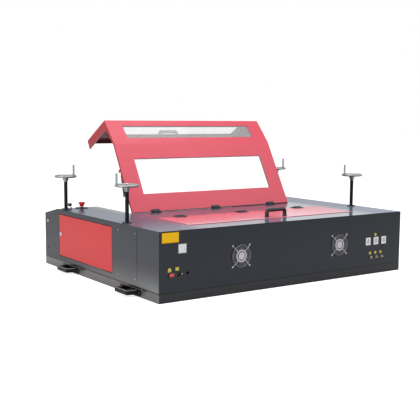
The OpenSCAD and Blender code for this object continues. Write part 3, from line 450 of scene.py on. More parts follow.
def estop_base_finish(name, deck):
    """Black moulding, turned in fine rings above the disc that lies on the deck."""
    s = Shader(name)
    disc = 3.2 * MM
    collar = s.z > deck + disc
    turning = (s.z * 5000.0).sin()  # one ring every 1.3 mm
    colour = s.blend(collar, (0.018, 0.018, 0.02), (0.035, 0.035, 0.038))
    return s.finish(colour, 0.45 - collar * 0.1, Normal=s.bump(turning, 0.03 * MM))


def socket_finish(name, face, centre, pitch):
    """White moulding with painted shade: near black in its slots, and a grey patch round each set of slots.
    """
    s = Shader(name)
    # Painted shade: near black deeper than 1.2 mm behind the face, in the slots.
    inside = s.y > face + 1.2 * MM
    cloud = s.noise(60.0, 4.0)
    white = s.blend(cloud, (0.72, 0.72, 0.70), (0.83, 0.83, 0.82))
    # Painted shade: a grey patch round each set of slots stands for a shaded recess.
    for step in (-1, 0, 1):
        across = (s.x - float(centre[0] + step * pitch)).abs()
        painted_well_shade = (across < 11 * MM) * ((s.z - float(centre[2])).abs() < 14 * MM)
        white = s.blend(painted_well_shade * 0.6, white, (0.36, 0.37, 0.38))
    colour = s.blend(inside, white, (0.02, 0.02, 0.02))
    return s.finish(colour, cloud * 0.1 + 0.22, Normal=s.bump(s.noise(700.0), 0.02 * MM))


def inlet_finish(name, plug_x, face):
    """Black inlet housing with plated contact pins in the recess."""
    s = Shader(name)
    pins = (s.y > face + 4.5 * MM) * (s.y < face + 20 * MM) * ((s.x - plug_x).abs() < 8.4 * MM)
    colour = s.blend(pins, (0.008, 0.008, 0.009), (0.30, 0.25, 0.16))
    return s.finish(colour, 0.42 - pins * 0.15, Metallic=pins, Normal=s.bump(s.cells(600.0), 0.05 * MM))


def rocker_finish(name, centre, colour):
    """Red rocker with a bar on one half and a ring on the other, filled in a pale colour."""
    s = Shader(name)
    across = s.x - float(centre[0])
    up = s.z - float(centre[2])
    bar = ((across + 7 * MM).abs() < 0.7 * MM) * (up.abs() < 3.5 * MM)
    radius = s.distance((centre[0] + 7 * MM, 0, centre[2]), "xz")
    ring = (radius < 3.2 * MM) * (radius > 2.1 * MM)
    tone = s.blend(s.noise(90.0), shade(colour, 0.9), colour)
    marked = s.blend(bar + ring, tone, (0.86, 0.42, 0.44))
    return s.finish(marked, 0.18, Normal=s.bump(s.noise(500.0), 0.02 * MM))


def keypad_finish(name):
    """Dark keypad moulding with a fine cross-hatched texture."""
    s = Shader(name)
    rate = 5200.0  # radians of the wave to a metre: one line every 1.2 mm
    hatch = (s.x * rate).sin() * (s.y * rate).sin()
    tone = s.blend(s.noise(35.0), (0.022, 0.023, 0.026), (0.04, 0.042, 0.046))
    return s.finish(tone, 0.42, Normal=s.bump(hatch, 0.03 * MM))


def plate_finish(name, colour, centre, half, border=2.5, rim=0.12):
    """Enamelled plate with a darker border along its edge."""
    s = Shader(name)
    cloud = s.noise(70.0, 4.0)
    tone = s.blend(cloud, shade(colour, 0.92), colour)
    for axis, reach in half.items():
        offset = (getattr(s, axis) - float(centre["xyz".index(axis)])).abs()
        tone = s.blend(offset > reach - border * MM, tone, shade(colour, rim))
    return s.finish(tone, cloud * 0.1 + 0.28, Normal=s.bump(s.noise(400.0), 0.015 * MM),
                    Specular_IOR_Level=0.2)


# ---------------------------------------------------------------- surfaces
def surface(points, wrap=True, start=None, end=None):
    """A grid of points as a mesh. Rows are closed round if wrap; start and end are the points that cap it."""
    rows, across = points.shape[:2]
    index = np.arange(rows * across).reshape(rows, across)
    right = np.roll(index, -1, 1)
    if not wrap:
        index, right = index[:, :-1], right[:, :-1]
    quads = np.stack([index[:-1], right[:-1], right[1:], index[1:]], -1).reshape(-1, 4)
    vertices = points.reshape(-1, 3)
    faces = quads.tolist()
    for cap, row, order in ((start, 0, -1), (end, rows - 1, 1)):
        if cap is not None:
            pole = np.full(index.shape[1], len(vertices))
            fan = np.stack([index[row], right[row], pole], -1)[:, ::order]
            faces += fan.tolist()
            vertices = np.vstack([vertices, cap])
    return vertices, faces


def revolved(profile, segments=24):
    """A profile of radius and height turned about Z: x = r cos t, y = r sin t, z = height."""
    profile = np.asarray(profile, float)
    t = np.linspace(0, 2 * math.pi, segments, endpoint=False)
    ring = np.stack([np.cos(t), np.sin(t)], -1)
    rows = profile[:, 0, None, None] * ring[None]
    heights = np.broadcast_to(profile[:, 1, None, None], rows.shape[:2] + (1,))
    points = np.concatenate([rows, heights], -1)
    return surface(points, start=(0, 0, profile[0, 1]), end=(0, 0, profile[-1, 1]))


def rounded_outline(width, height, radius, steps=5):
    """A rectangle with quarter-circle corners: a corner's centre plus the radius at its quarter's angles."""
    quarter = np.linspace(0, math.pi / 2, steps)
    angles = quarter[None] + np.arange(4)[:, None] * math.pi / 2
    signs = np.array([[1, 1], [-1, 1], [-1, -1], [1, -1]])
    centres = signs * (width / 2 - radius, height / 2 - radius)
    return (centres[:, None] + radius * np.stack([np.cos(angles), np.sin(angles)], -1)).reshape(-1, 2)


def slab(width, height, radius, thickness, edge):
    """A rounded plate on z = 0. Its top edge is a quarter round: in by 1 - cos, down by 1 - sin."""
    turn = np.linspace(0, math.pi / 2, 4)
    inset = np.concatenate([[0], edge * (1 - np.cos(turn))])
    rise = np.concatenate([[0], thickness - edge * (1 - np.sin(turn))])
    outlines = [rounded_outline(width - 2 * i, height - 2 * i, max(radius - i, 0.1 * MM)) for i in inset]
    rows = [np.column_stack([outline, np.full(len(outline), z)]) for outline, z in zip(outlines, rise)]
    return surface(np.array(rows), start=(0, 0, 0), end=(0, 0, thickness))


def copies(mesh, places):
    """A mesh repeated: places are pairs of an origin and a 3 by 3 matrix whose columns are its axes."""
    vertices, faces = mesh
    origins = np.array([p[0] for p in places], float)
    axes = np.array([p[1] for p in places], float)
    moved = np.einsum("nij,vj->nvi", axes, vertices) + origins[:, None]
    count = len(vertices)
    repeated = [[i + k * count for i in face] for k in range(len(places)) for face in faces]
    return moved.reshape(-1, 3), repeated


def facing(normal, along=(1, 0, 0)):
    """Axes that stand on a face: X along, Z its outward normal."""
    z = np.array(normal, float) / np.linalg.norm(normal)
    x = np.array(along, float) - z * np.dot(along, z)
    x = x / np.linalg.norm(x)
    return np.column_stack([x, np.cross(z, x), z])


BACK = facing(-Y)
UP = facing(Z)
END = facing(-X, -Y)
END_RIGHT = facing(X, Y)


def make_piece(name, mesh, body, material, smooth=30.0):
    """Puts a mesh in the scene, shaded smooth below an angle, and lets it ride on a CAD body."""
    vertices, faces = mesh
    data = bpy.data.meshes.new(name)
    data.from_pydata(np.asarray(vertices).tolist(), [], faces)
    data.validate()
    data.materials.append(material)
    made = bpy.data.objects.new(name, data)
    bpy.context.scene.collection.objects.link(made)
    data.polygons.foreach_set("use_smooth", np.ones(len(data.polygons), bool))
    data.set_sharp_from_angle(angle=math.radians(smooth))
    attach(made, body)


def joined(*meshes):
    """Several meshes as one."""
    vertices, faces, start = [], [], 0
    for points, polygons in meshes:
        vertices.append(points)
        faces += [[i + start for i in face] for face in polygons]
        start += len(points)
    return np.vstack(vertices), faces


def set_out(name, mesh, places, body, material):
    """Adds a piece made of copies of a mesh."""
    make_piece(name, copies(mesh, places), body, material)


def pan_head(radius, height):
    """A domed head with a cross recess: z = brim plus a flat dome, less a cross where |x| or |y| is small."""
    rings = np.linspace(0, 1, 7)[1:]
    t = np.linspace(0, 2 * math.pi, 24, endpoint=False)
    x = radius * rings[::-1, None] * np.cos(t)
    y = radius * rings[::-1, None] * np.sin(t)
    brim = 0.55 * height
    dome = np.broadcast_to((1 - rings[::-1, None] ** 4), x.shape) * (height - brim) + brim
    cross = np.minimum(np.abs(x), np.abs(y)) < 0.16 * radius
    depth = np.where(cross & (np.hypot(x, y) < 0.62 * radius), brim, 0.0)
    points = np.stack([x, y, dome - depth], -1)
    skirt = np.stack([x[0], y[0], np.zeros(len(t))], -1)[None]
    return surface(np.concatenate([skirt, points]), start=(0, 0, 0), end=(0, 0, height - brim))


def bead(path, radius, segments=12):
    """A round bar along a level path: path point + radius (side cos t + up sin t), with pointed ends."""
    path = np.asarray(path, float)
    step = np.gradient(path, axis=0)
    step /= np.linalg.norm(step, axis=1, keepdims=True)
    side = np.cross(Z, step)
    t = np.linspace(0, 2 * math.pi, segments, endpoint=False)[None, :, None]
    points = path[:, None] + radius * (side[:, None] * np.cos(t) + Z * np.sin(t))
    return surface(points, start=path[0] - step[0] * radius / 2, end=path[-1] + step[-1] * radius / 2)


def strip_frame(width, height, bar, top, bottom):
    """A rectangular ring whose bar lies outside the width and height, and goes from top down to bottom."""
    signs = np.array([[1, 1], [-1, 1], [-1, -1], [1, -1]])
    inner = signs * (width / 2, height / 2)
    outer = inner + signs * bar
    corners = [np.column_stack([side, np.full(4, z)])
               for side, z in ((inner, top), (outer, top), (outer, bottom), (inner, bottom))]
    points = np.stack(corners, 1)
    return surface(np.concatenate([points, points[:1]]))


# ---------------------------------------------------------------- what a user would change
def colour_setting(name, description, default):
    """A colour of three numbers."""
    return FloatVectorProperty(name=name, description=description, default=default,
                               subtype="COLOR", size=3, min=0, max=1)


def length_setting(name, description, default, least, most):
    """A length, given in millimetres like its limits."""
    return FloatProperty(name=name, description=description, default=default * MM,
                         unit="LENGTH", min=least * MM, max=most * MM)


def angle_setting(name, description, degrees):
    """An angle, given in degrees."""
    return FloatProperty(name=name, description=description, default=math.radians(degrees), subtype="ANGLE")


def number_setting(name, description, default, least, most):
    """A plain number with its limits."""
    return FloatProperty(name=name, description=description, default=default, min=least, max=most)


class EngraverPaint(bpy.types.PropertyGroup):
    """Colours and gloss of the coated and moulded pieces."""

    cabinet: colour_setting("Cabinet", "Colour of the cabinet's coat", (0.0130, 0.0140, 0.0175))
    lid: colour_setting("Lid", "Colour of the lid and the tube cover", (0.645, 0.056, 0.086))
    door: colour_setting("Door", "Colour of the side door", (0.51, 0.018, 0.016))
    # Painted shade: a dark copy of the lid's red for its inner faces, which lie in shade.
    inside: colour_setting("Inside", "Colour of the lid's inner faces", (0.17, 0.03, 0.035))
    # Painted shade: a darker copy of the lid's red for the cheeks, as the ends get less light.
    painted_cheek_shade: colour_setting("Cheek", "Colour of the lid's cheeks", (0.34, 0.003, 0.006))
    plastic: colour_setting("Plastic", "Colour of handles and housings", (0.012, 0.012, 0.014))
    gloss: number_setting("Cabinet roughness", "Roughness of the cabinet's coat", 0.20, 0.02, 1)
    lid_gloss: number_setting("Lid roughness", "Roughness of the lid's coat", 0.32, 0.02, 1)
    clearness: number_setting("Pane clearness", "How much passes straight through a pane", 0.89, 0, 1)


class EngraverTrim(bpy.types.PropertyGroup):
    """Sizes of the fasteners and trims, and colours of the plates."""

    screw_radius: length_setting("Screw head", "Radius of the small screw heads", 3.6, 2, 6)
    screw_height: length_setting("Screw height", "Height of the small screw heads", 2.2, 1, 5)
    seal_width: length_setting("Seal width", "Width of the strip behind a window's edge", 6, 3, 10)
    seal_depth: length_setting("Seal depth", "Depth of the strip behind a window's edge", 7, 3, 12)
    handle_edge: length_setting("Handle edge", "Radius of the carry handles' rounded edges", 2.4, 1, 4)
    plate_thickness: length_setting("Plate", "Thickness of the enamelled plates", 1.2, 0.5, 3)
    plate_colour: colour_setting("Plate colour", "Colour of the large plate", (0.84, 0.47, 0.001))
    tag_colour: colour_setting("Tag colour", "Colour of the small tags", (0.55, 0.48, 0.08))


class EngraverStage(bpy.types.PropertyGroup):
    """Camera and light."""

    position: FloatVectorProperty(
        name="Camera", description="Camera position",
        subtype="XYZ", size=3, unit="LENGTH", default=(-2.748, -3.827, 0.8705))
    heading: angle_setting("Heading", "Turn from +Y towards +X", 34.892)
    pitch: angle_setting("Pitch", "Tilt below the horizon", 6.521)
    roll: angle_setting("Roll", "Turn about the line of sight", 0.454)
    lens: number_setting("Lens", "Focal length in millimetres for a 36 mm sensor", 69.89, 20, 200)
    overhead: number_setting("Overhead lamp", "Power of the lamp above, in watts", 62, 0, 2000)
    side: number_setting("Side lamp", "Power of the lamp at the left end, in watts", 86, 0, 2000)
    front: number_setting("Front lamp", "Power of the lamp in front at the right, in watts", 20, 0, 2000)
    sky: number_setting("Sky", "Strength of the light from all round", 0.62, 0, 2)


# ---------------------------------------------------------------- finishing the CAD nodes
class ENGRAVER_OT_coats(bpy.types.Operator):
    """Gives the sheet-metal panels, lid, cover and door their sprayed coats."""

    bl_idname = "engraver.coats"
    bl_label = "Coated panels"

    def execute(self, context):
        paint = context.scene.engraver_paint
        grey = powder_coat("cabinet coat", paint.cabinet, paint.gloss, level=0.4)
        give(rail_finish("rail coat", paint.cabinet, paint.gloss), "base_frame")
        give(grey, "rear_panel", "right_panel", "front_panels", "bulkhead")
        # Painted light: the left end and its service cover take a lighter copy of the cabinet's coat, and
        # their lower part a paler colour still.
        give(powder_coat("end coat", shade(paint.cabinet, 1.5), paint.gloss, level=0.4,
                         over=((end_foot, (0.150, 0.154, 0.150)),)), "left_panel", "service_panel")
        give(deck_finish("deck coat", paint.cabinet, paint.gloss), "deck_panel")
        # Painted shade on the lid: its inner faces and cheeks take darker copies of its red, darkest on the
        # cheeks away from the panels.
        red = powder_coat("lid coat", paint.lid, paint.lid_gloss, grain=420.0, depth=0.025,
                          over=((lid_inside, paint.inside), (cheek_face, paint.painted_cheek_shade),
                                (cheek_foot, (0.26, 0.025, 0.02))))
        give(red, "lid_shell")
        give(cover_finish("cover coat", paint.lid, 0.26), "tube_cover")
        give(powder_coat("door coat", paint.door, 0.34, grain=420.0, depth=0.03, level=0.42), "left_door")
        black = powder_coat("black coat", paint.plastic, 0.3, grain=500.0)
        give(black, "lid_handle", "cover_handle", "hinge_bases", "lid_hinge_arms", "cover_hinge_arms",
             "jack_collars", "tube_clamps", "strut_tubes")
        return {"FINISHED"}


class ENGRAVER_OT_mouldings(bpy.types.Operator):
    """Gives the plastic parts their moulded grain, and the parts with bright details their own finishes."""

    bl_idname = "engraver.mouldings"
    bl_label = "Mouldings"

    def execute(self, context):
        paint = context.scene.engraver_paint
        black = moulded("black moulding", paint.plastic)
        give(moulded("handle black", shade(paint.plastic, 0.35), 0.2, depth=0.02, level=0.2), "carry_handles")
        give(black, "fan_frames", "x_motor", "y_motor", "fixed_mirror", "gantry_mirror",
             "laser_head", "key")
        give(keypad_finish("keypad moulding"), "control_panel")
        give(moulded("fan black", (0.010, 0.010, 0.011), 0.55), "fan_rotor_1", "fan_rotor_2")
        give(estop_base_finish("stop button base", DECK), "estop_base")
        give(moulded("stop button red", (0.55, 0.012, 0.02), 0.25, 300.0, 0.02), "estop_button")
        give(socket_finish("socket white", SERVICE - 3 * MM, middle("power_sockets"), 61.5 * MM),
             "power_sockets")
        plug = high("power_inlet")[0] - 17 * MM
        give(inlet_finish("inlet black", plug, SERVICE - 3 * MM), "power_inlet")
        give(rocker_finish("rocker red", middle("switch_rocker"), (0.70, 0.03, 0.045)), "switch_rocker")
        return {"FINISHED"}


class ENGRAVER_OT_metals(bpy.types.Operator):
    """Gives the bare metal parts their brushed, cast and blackened surfaces."""

    bl_idname = "engraver.metals"
    bl_label = "Metals"

    def execute(self, context):
        give(brushed("bright steel", (0.74, 0.75, 0.77), 0.25), "key_switch", "strut_rods", "left_lock",
             "y_shaft")
        give(brushed("plated brass", (0.58, 0.52, 0.38), 0.35), "hose_fittings")
        give(guard_finish("guard chrome", [middle("fan_rotor_1"), middle("fan_rotor_2")]), "fan_guards")
        give(brushed("zinc sheet", (0.62, 0.64, 0.66), 0.38, (1, 0.03, 1), 300.0), "power_supply")
        give(brushed("clear anodised", (0.70, 0.71, 0.73), 0.36, (0.02, 0.02, 1)), "gantry_beam",
             "head_carriage", "y_rails")
        wheel = polished("cast aluminium", (0.31, 0.32, 0.33), 0.42)
        screw = threaded("blackened screw", (0.006, 0.006, 0.007), 5 * MM)
        foot = polished("blackened foot", (0.03, 0.03, 0.032), 0.4)
        for number in range(1, 5):
            give(wheel, f"handwheel_{number}")
            give(screw, f"jack_screw_{number}")
            give(foot, f"jack_foot_{number}")
        return {"FINISHED"}


class ENGRAVER_OT_clear(bpy.types.Operator):
    """Gives the panes, the laser tube and the belts their finishes."""

    bl_idname = "engraver.clear"
    bl_label = "Panes, tube and belts"

    def execute(self, context):
        paint = context.scene.engraver_paint
        give(clear_pane("clear pane", (0.93, 0.96, 0.97), paint.clearness), "lid_windows")
        give(clear_pane("tube glass", (0.85, 0.92, 0.95), 0.75), "laser_tube")
        give(rubber("toothed belt", (0.015, 0.015, 0.016), 5 * MM), "y_belts")
        return {"FINISHED"}


def give(material, *nodes):
    """Assigns a material to CAD nodes."""
    for node in nodes:
        slots = FRAME["nodes"][node].data.materials
        slots.clear()
        slots.append(material)


# ---------------------------------------------------------------- added pieces
class ENGRAVER_OT_plates(bpy.types.Operator):
    """Adds the bare enamelled plates and tags on the service face and the left end."""

    bl_idname = "engraver.plates"
    bl_label = "Plates and tags"

    def execute(self, context):
        trim = context.scene.engraver_trim
        thick = trim.plate_thickness
        plates = (  # name, colour, place, size and border in millimetres
            ("yellow_plate", trim.plate_colour, (62, 309), (100, 55), 4.0),
            ("white_plate", (0.72, 0.73, 0.76), (129, 253), (52, 51), 4.5),
            ("inlet_tag", trim.tag_colour, (100, 158), (23, 20), 2.0),
        )
        for name, colour, (x, z), (width, height), border in plates:
            centre = on_service_face(x, z)
            finish = plate_finish(name.replace("_", " "), colour, centre,
                                  {"x": width * MM / 2, "z": height * MM / 2}, border)
            mesh = slab(width * MM, height * MM, 3 * MM, thick, 0.5 * MM)
            set_out(name, mesh, [(centre, BACK)], "cabinet", finish)
        disc = revolved([(8.5 * MM, 0), (8.5 * MM, thick - 0.4 * MM), (8.1 * MM, thick)], 28)
        oval = slab(18 * MM, 26 * MM, 8.5 * MM, thick, 0.4 * MM)
        centre = on_service_face(58, 152)
        finish = plate_finish("oval tag", trim.tag_colour, centre, {})
        set_out("oval_tag", oval, [(centre, BACK)], "cabinet", finish)
        plug = revolved([(6 * MM, 0), (6 * MM, 1 * MM), (5 * MM, 1.6 * MM)])
        black = moulded("plug black", (0.01, 0.01, 0.01))
        set_out("end_plug", plug, [(on_left_end(1252, 102), END)], "cabinet", black)
        spots = [(x, 119.5) for x in (1382, 1423, 1464)] + [(1420, 221)]
        places = [(on_service_face(x, z), BACK) for x, z in spots]
        finish = plate_finish("round tag", trim.tag_colour, np.zeros(3), {})
        set_out("round_tags", disc, places, "cabinet", finish)
        centre = on_left_end(1252, 258)
        mesh = slab(24 * MM, 22 * MM, 2 * MM, thick, 0.4 * MM)
        finish = plate_finish("end tag", (0.42, 0.37, 0.27), centre, {"y": 12 * MM, "z": 11 * MM})
        set_out("end_tag", mesh, [(centre, END)], "cabinet", finish)
        return {"FINISHED"}


def grid_spots(centre, across, up, width, height):
    """The four corners of a rectangle round a centre."""
    return [np.asarray(centre) + i * width / 2 * np.asarray(across) + j * height / 2 * np.asarray(up)
            for i in (-1, 1) for j in (-1, 1)]


class ENGRAVER_OT_screws(bpy.types.Operator):
    """Adds the cross-head screws of the service cover, fans, inlet, hinges, jack collars and handles."""

    bl_idname = "engraver.screws"
    bl_label = "Screws"

    def execute(self, context):
        trim = context.scene.engraver_trim
        head = pan_head(trim.screw_radius, trim.screw_height)
        zinc = brushed("zinc screw", (0.42, 0.42, 0.43), 0.4, (1, 1, 1), 500.0)
        black = moulded("blackened screw head", (0.02, 0.02, 0.022), 0.35, 900.0, 0.01)
        set_out("service_screws", head, self.service_places(), "cabinet", zinc)
        set_out("deck_screws", head, self.deck_places(), "cabinet", black)
        large = pan_head(1.6 * trim.screw_radius, 1.6 * trim.screw_height)
        set_out("handle_bolts", large, self.handle_places(), "cabinet", black)
        set_out("lid_screws", head, self.lid_places(), "lid", black)
        set_out("cover_screws", head, self.cover_places(), "tube_cover", black)
        return {"FINISHED"}

    def service_places(self):
        """Round the fans, at the service cover's corners and beside the inlet."""
        places = []
        guard = 2.6 * MM
        for number in (1, 2):
            fan = middle(f"fan_rotor_{number}")
            fan[1] = SERVICE - guard
            places += [(spot, BACK) for spot in grid_spots(fan, X, Z, FAN_HOLES, FAN_HOLES)]
        cover = middle("service_panel")
        size = high("service_panel") - low("service_panel")
        cover[0] = low("service_panel")[0]
        margin = 14 * MM
        width, height = size[1:] - 2 * margin
        places += [(spot, END) for spot in grid_spots(cover, Y, Z, width, height)]
        places.append((on_service_face(128, 131), BACK))
        return places

    def deck_places(self):
        """On the fixed leaves of the lid's and cover's hinges, and round the jack collars."""
        places = []
        flange, circle = 4 * MM, 19.5 * MM
        for x in HINGE_PLACES:
            for side in (-16, 16):
                spot = (x + side) * MM
                places.append(((spot, HINGE[1] - 20 * MM, DECK + HINGE_LEAF), UP))
                places.append(((spot, high("cover_hinge_arms")[1] + 15 * MM, DECK + HINGE_LEAF), UP))
        for number in range(1, 5):
            jack = middle(f"jack_screw_{number}")
            for turn in (30, 150, 270):
                c, s = math.cos(math.radians(turn)), math.sin(math.radians(turn))
                places.append(((jack[0] + circle * c, jack[1] + circle * s, DECK + flange), UP))
        return places

    def handle_places(self):
        """At both ends of each carry handle's plate."""
        places = []
        plate = 3 * MM
        for y in HANDLE_PLACES:
            for side in (-1, 1):
                spot = (SERVICE + (y + side * 90) * MM, middle("carry_handles")[2])
                places.append(((LEFT - plate, *spot), END))
                places.append(((RIGHT + plate, *spot), END_RIGHT))
        return places

    def lid_places(self):
        """On the lid's hinge leaves, turned with the lid."""
        closed = [((x + side) * MM, HINGE[1] + 9 * MM, DECK + HINGE_LEAF)
                  for x in HINGE_PLACES for side in (-19, 19)]
        return [(spot, LID_TURN @ UP) for spot in lid_point(closed)]

    def cover_places(self):
        """On the cover's hinge leaves, which lie on its sheet."""
        return [(((x + side) * MM, low("hinge_bases")[1] - 15 * MM, DECK + SHEET + HINGE_LEAF), UP)
                for x in HINGE_PLACES for side in (-16, 16)]


class ENGRAVER_OT_seals(bpy.types.Operator):
    """Adds the strip that holds each pane against the inner face of the lid, along the edge of its window."""

    bl_idname = "engraver.seals"
    bl_label = "Window seals"

    def execute(self, context):
        trim = context.scene.engraver_trim
        fall = np.array([0, OPERATOR - BEND, EDGE - DECK])
        length = np.linalg.norm(fall)
        along = fall / length
        behind = 5 * MM
        windows = (  # middle on the closed lid, height and normal
            (np.array([0, HINGE[1] + 220.5 * MM, DECK]), 221 * MM, Z),
            (np.array([0, BEND, DECK]) + fall / 2, length - 84 * MM, (0, -along[2], along[1])),
            (np.array([0, OPERATOR, EDGE - 107 * MM]), 130 * MM, Y),
        )
        frames = []
        for centre, height, normal in windows:
            mesh = strip_frame(WINDOW_WIDTH, height, trim.seal_width, -behind, -behind - trim.seal_depth)
            frames.append(copies(mesh, [(lid_point(centre), LID_TURN @ facing(normal))]))
        finish = moulded("seal rubber", (0.05, 0.014, 0.018), 0.6)
        make_piece("window_seals", joined(*frames), "lid", finish)
        return {"FINISHED"}


class ENGRAVER_OT_handle_edges(bpy.types.Operator):
    """Adds the rounded edges of the carry handles, in a grey that is a painted highlight."""

    bl_idname = "engraver.handle_edges"
    bl_label = "Handle edges"

    def execute(self, context):
        radius = context.scene.engraver_trim.handle_edge
        lift = 10 * MM - radius / 2  # half the grip's height, less what sinks the bead in it
        beads = []
        for end, sign in ((LEFT, -1), (RIGHT, 1)):
            for y in HANDLE_PLACES:
                for height in (lift, -lift):
                    out, along = self.outline(radius + 0.1 * MM)
                    path = np.column_stack([end + sign * out, SERVICE + y * MM - sign * along,
                                            np.full(len(out), middle("carry_handles")[2] + height)])
                    beads.append(bead(path, radius))
        # Painted highlight: the beads are a light grey against the black handles.
        painted_light = moulded("rubbed handle edge", (0.31, 0.315, 0.33), 0.2, depth=0.01, level=0.8)
        make_piece("handle_edges", joined(*beads), "cabinet", painted_light)
        return {"FINISHED"}

    def outline(self, inset):
        """The grip's outer edge, inset: a foot, an arc whose centre is 55 mm along, and both mirrored."""
        reach = LEFT - low("carry_handles")[0] - inset
        corner = 9 * MM - inset
        turn = np.radians(np.linspace(103, 180, 8))
        out = np.concatenate([[7 * MM], reach - corner - corner * np.cos(turn)])
        along = np.concatenate([[70 * MM], 55 * MM + corner * np.sin(turn)])
        return np.concatenate([out, out[::-1]]), np.concatenate([along, -along[::-1]])


class ENGRAVER_OT_wheel_trims(bpy.types.Operator):
    """Adds the locking pin's head and the turned grip cap of each handwheel."""

    bl_idname = "engraver.wheel_trims"
    bl_label = "Handwheel trims"
    cranks = (173, 173, 11, 0)  # each wheel's turn to its crank handle, in degrees

    def execute(self, context):
        lift = np.linspace(0, math.pi / 2, 7)[:-1]
        cap = revolved(np.column_stack([5.7 * MM * np.cos(lift), 5 * MM * np.sin(lift)]))
        pin = revolved(np.column_stack([7.5 * MM * np.cos(lift), 3.5 * MM * np.sin(lift)]))
        rim = 7 * MM
        reach = (high("handwheel_1")[0] - low("handwheel_1")[0]) / 2 - rim
        bright = brushed("nut steel", (0.72, 0.73, 0.75), 0.22, (1, 1, 1), 400.0)
        for number, crank in enumerate(self.cranks, 1):
            x, y, _ = middle(f"jack_screw_{number}")
            angle = math.radians(crank)
            top = high(f"handwheel_{number}")[2]
            grip = (x + reach * math.cos(angle), y + reach * math.sin(angle), top)
            centre = (x, y, high(f"jack_screw_{number}")[2])
            mesh = joined(copies(pin, [(centre, UP)]), copies(cap, [(grip, UP)]))
            make_piece(f"wheel_trims_{number}", mesh, f"screw_{number}", bright)
        return {"FINISHED"}


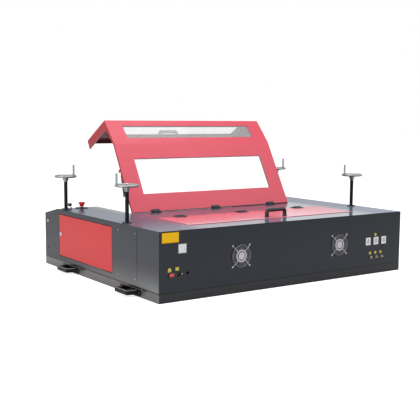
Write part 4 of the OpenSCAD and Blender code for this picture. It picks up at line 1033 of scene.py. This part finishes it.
# ---------------------------------------------------------------- stage
class ENGRAVER_OT_stage(bpy.types.Operator):
    """Adds the floor, lamps, sky and camera."""

    bl_idname = "engraver.stage"
    bl_label = "Stage"

    def execute(self, context):
        stage = context.scene.engraver_stage
        context.scene.view_settings.view_transform = "Standard"
        self.floor()
        self.sky(context.scene, stage.sky)
        self.lamp("overhead", (0.3, -0.6, 3.6), (0, 0, 0), 3.2, stage.overhead)
        self.lamp("side", (-4.2, -0.6, 1.9), (-0.8, 0, 0.3), 2.4, stage.side)
        self.lamp("front", (2.8, -2.5, 3.2), (0.2, 0, 0.6), 2.0, stage.front)
        self.camera(context.scene, stage)
        return {"FINISHED"}

    def floor(self):
        """A pale sheet that reads white where the lamps reach it and keeps the shadow."""
        s = Shader("floor")
        seen = s.node("LightPath", output="Is Camera Ray")
        diffuse = s.node("BsdfDiffuse", values={"Color": (0.86, 0.86, 0.87, 1)})
        lit = s.node("Emission", values={"Color": (1, 1, 1, 1), "Strength": seen * 0.62})
        s.end(s.node("AddShader", values={0: diffuse, 1: lit}))
        corners = np.array([[(-30, -30), (30, -30)], [(-30, 30), (30, 30)]], float)
        points = np.concatenate([corners, np.full((2, 2, 1), FLOOR - 0.2 * MM)], -1)
        vertices, faces = surface(points, wrap=False)
        data = bpy.data.meshes.new("floor")
        data.from_pydata(vertices.tolist(), [], faces)
        data.materials.append(s.material)
        made = bpy.data.objects.new("floor", data)
        bpy.context.scene.collection.objects.link(made)

    def sky(self, scene, strength):
        """White to the camera, to mirrors and through glass, and a soft grey light elsewhere."""
        world = bpy.data.worlds.new("sky")
        world.use_nodes = True
        tree = world.node_tree
        paths = tree.nodes.new("ShaderNodeLightPath").outputs
        white = paths["Is Camera Ray"]
        for ray in ("Is Glossy Ray", "Is Transmission Ray"):
            either = tree.nodes.new("ShaderNodeMath")
            either.operation = "MAXIMUM"
            tree.links.new(white, either.inputs[0])
            tree.links.new(paths[ray], either.inputs[1])
            white = either.outputs[0]
        level = tree.nodes.new("ShaderNodeMapRange")
        level.inputs["To Min"].default_value = strength
        level.inputs["To Max"].default_value = 1.0
        tree.links.new(white, level.inputs["Value"])
        background = tree.nodes["Background"]
        background.inputs["Color"].default_value = (1, 1, 1, 1)
        tree.links.new(level.outputs["Result"], background.inputs["Strength"])
        scene.world = world

    def lamp(self, name, position, target, size, power):
        """A square lamp that faces its target."""
        data = bpy.data.lights.new(name, "AREA")
        data.energy = power
        data.size = size
        made = bpy.data.objects.new(name, data)
        made.location = position
        made.rotation_euler = (Vector(target) - Vector(position)).to_track_quat("-Z", "Y").to_euler()
        bpy.context.scene.collection.objects.link(made)

    def camera(self, scene, stage):
        """Looks along the heading and pitch, then turns about the line of sight by the roll."""
        data = bpy.data.cameras.new("camera")
        data.lens = stage.lens
        made = bpy.data.objects.new("camera", data)
        look = Matrix.Rotation(-stage.heading, 3, "Z") @ Matrix.Rotation(math.pi / 2 - stage.pitch, 3, "X")
        look = look @ Matrix.Rotation(stage.roll, 3, "Z")
        made.matrix_world = Matrix.Translation(stage.position) @ look.to_4x4()
        scene.collection.objects.link(made)
        scene.camera = made


STEPS = (ENGRAVER_OT_coats, ENGRAVER_OT_mouldings, ENGRAVER_OT_metals, ENGRAVER_OT_clear,
         ENGRAVER_OT_plates, ENGRAVER_OT_screws, ENGRAVER_OT_seals, ENGRAVER_OT_handle_edges,
         ENGRAVER_OT_wheel_trims, ENGRAVER_OT_stage)


class ENGRAVER_PT_panel(bpy.types.Panel):
    """Lists the steps and their settings."""

    bl_label = "Engraver"
    bl_idname = "ENGRAVER_PT_panel"
    bl_space_type = "VIEW_3D"
    bl_region_type = "UI"
    bl_category = "Engraver"

    def draw(self, context):
        for name, kind in GROUPS.items():
            for setting in kind.__annotations__:
                self.layout.prop(getattr(context.scene, name), setting)
        for step in STEPS:
            self.layout.operator(step.bl_idname)


GROUPS = {"engraver_paint": EngraverPaint, "engraver_trim": EngraverTrim, "engraver_stage": EngraverStage}


def register():
    for kind in (*GROUPS.values(), *STEPS, ENGRAVER_PT_panel):
        bpy.utils.register_class(kind)
    for name, group in GROUPS.items():
        setattr(bpy.types.Scene, name, PointerProperty(type=group))


def unregister():
    for name in GROUPS:
        delattr(bpy.types.Scene, name)
    for kind in (ENGRAVER_PT_panel, *reversed(STEPS), *reversed(GROUPS.values())):
        bpy.utils.unregister_class(kind)


def main():
    """Runs every step in order."""
    register()
    for step in STEPS:
        area, name = step.bl_idname.split(".")
        getattr(getattr(bpy.ops, area), name)()


if __name__ == "__main__":
    main()
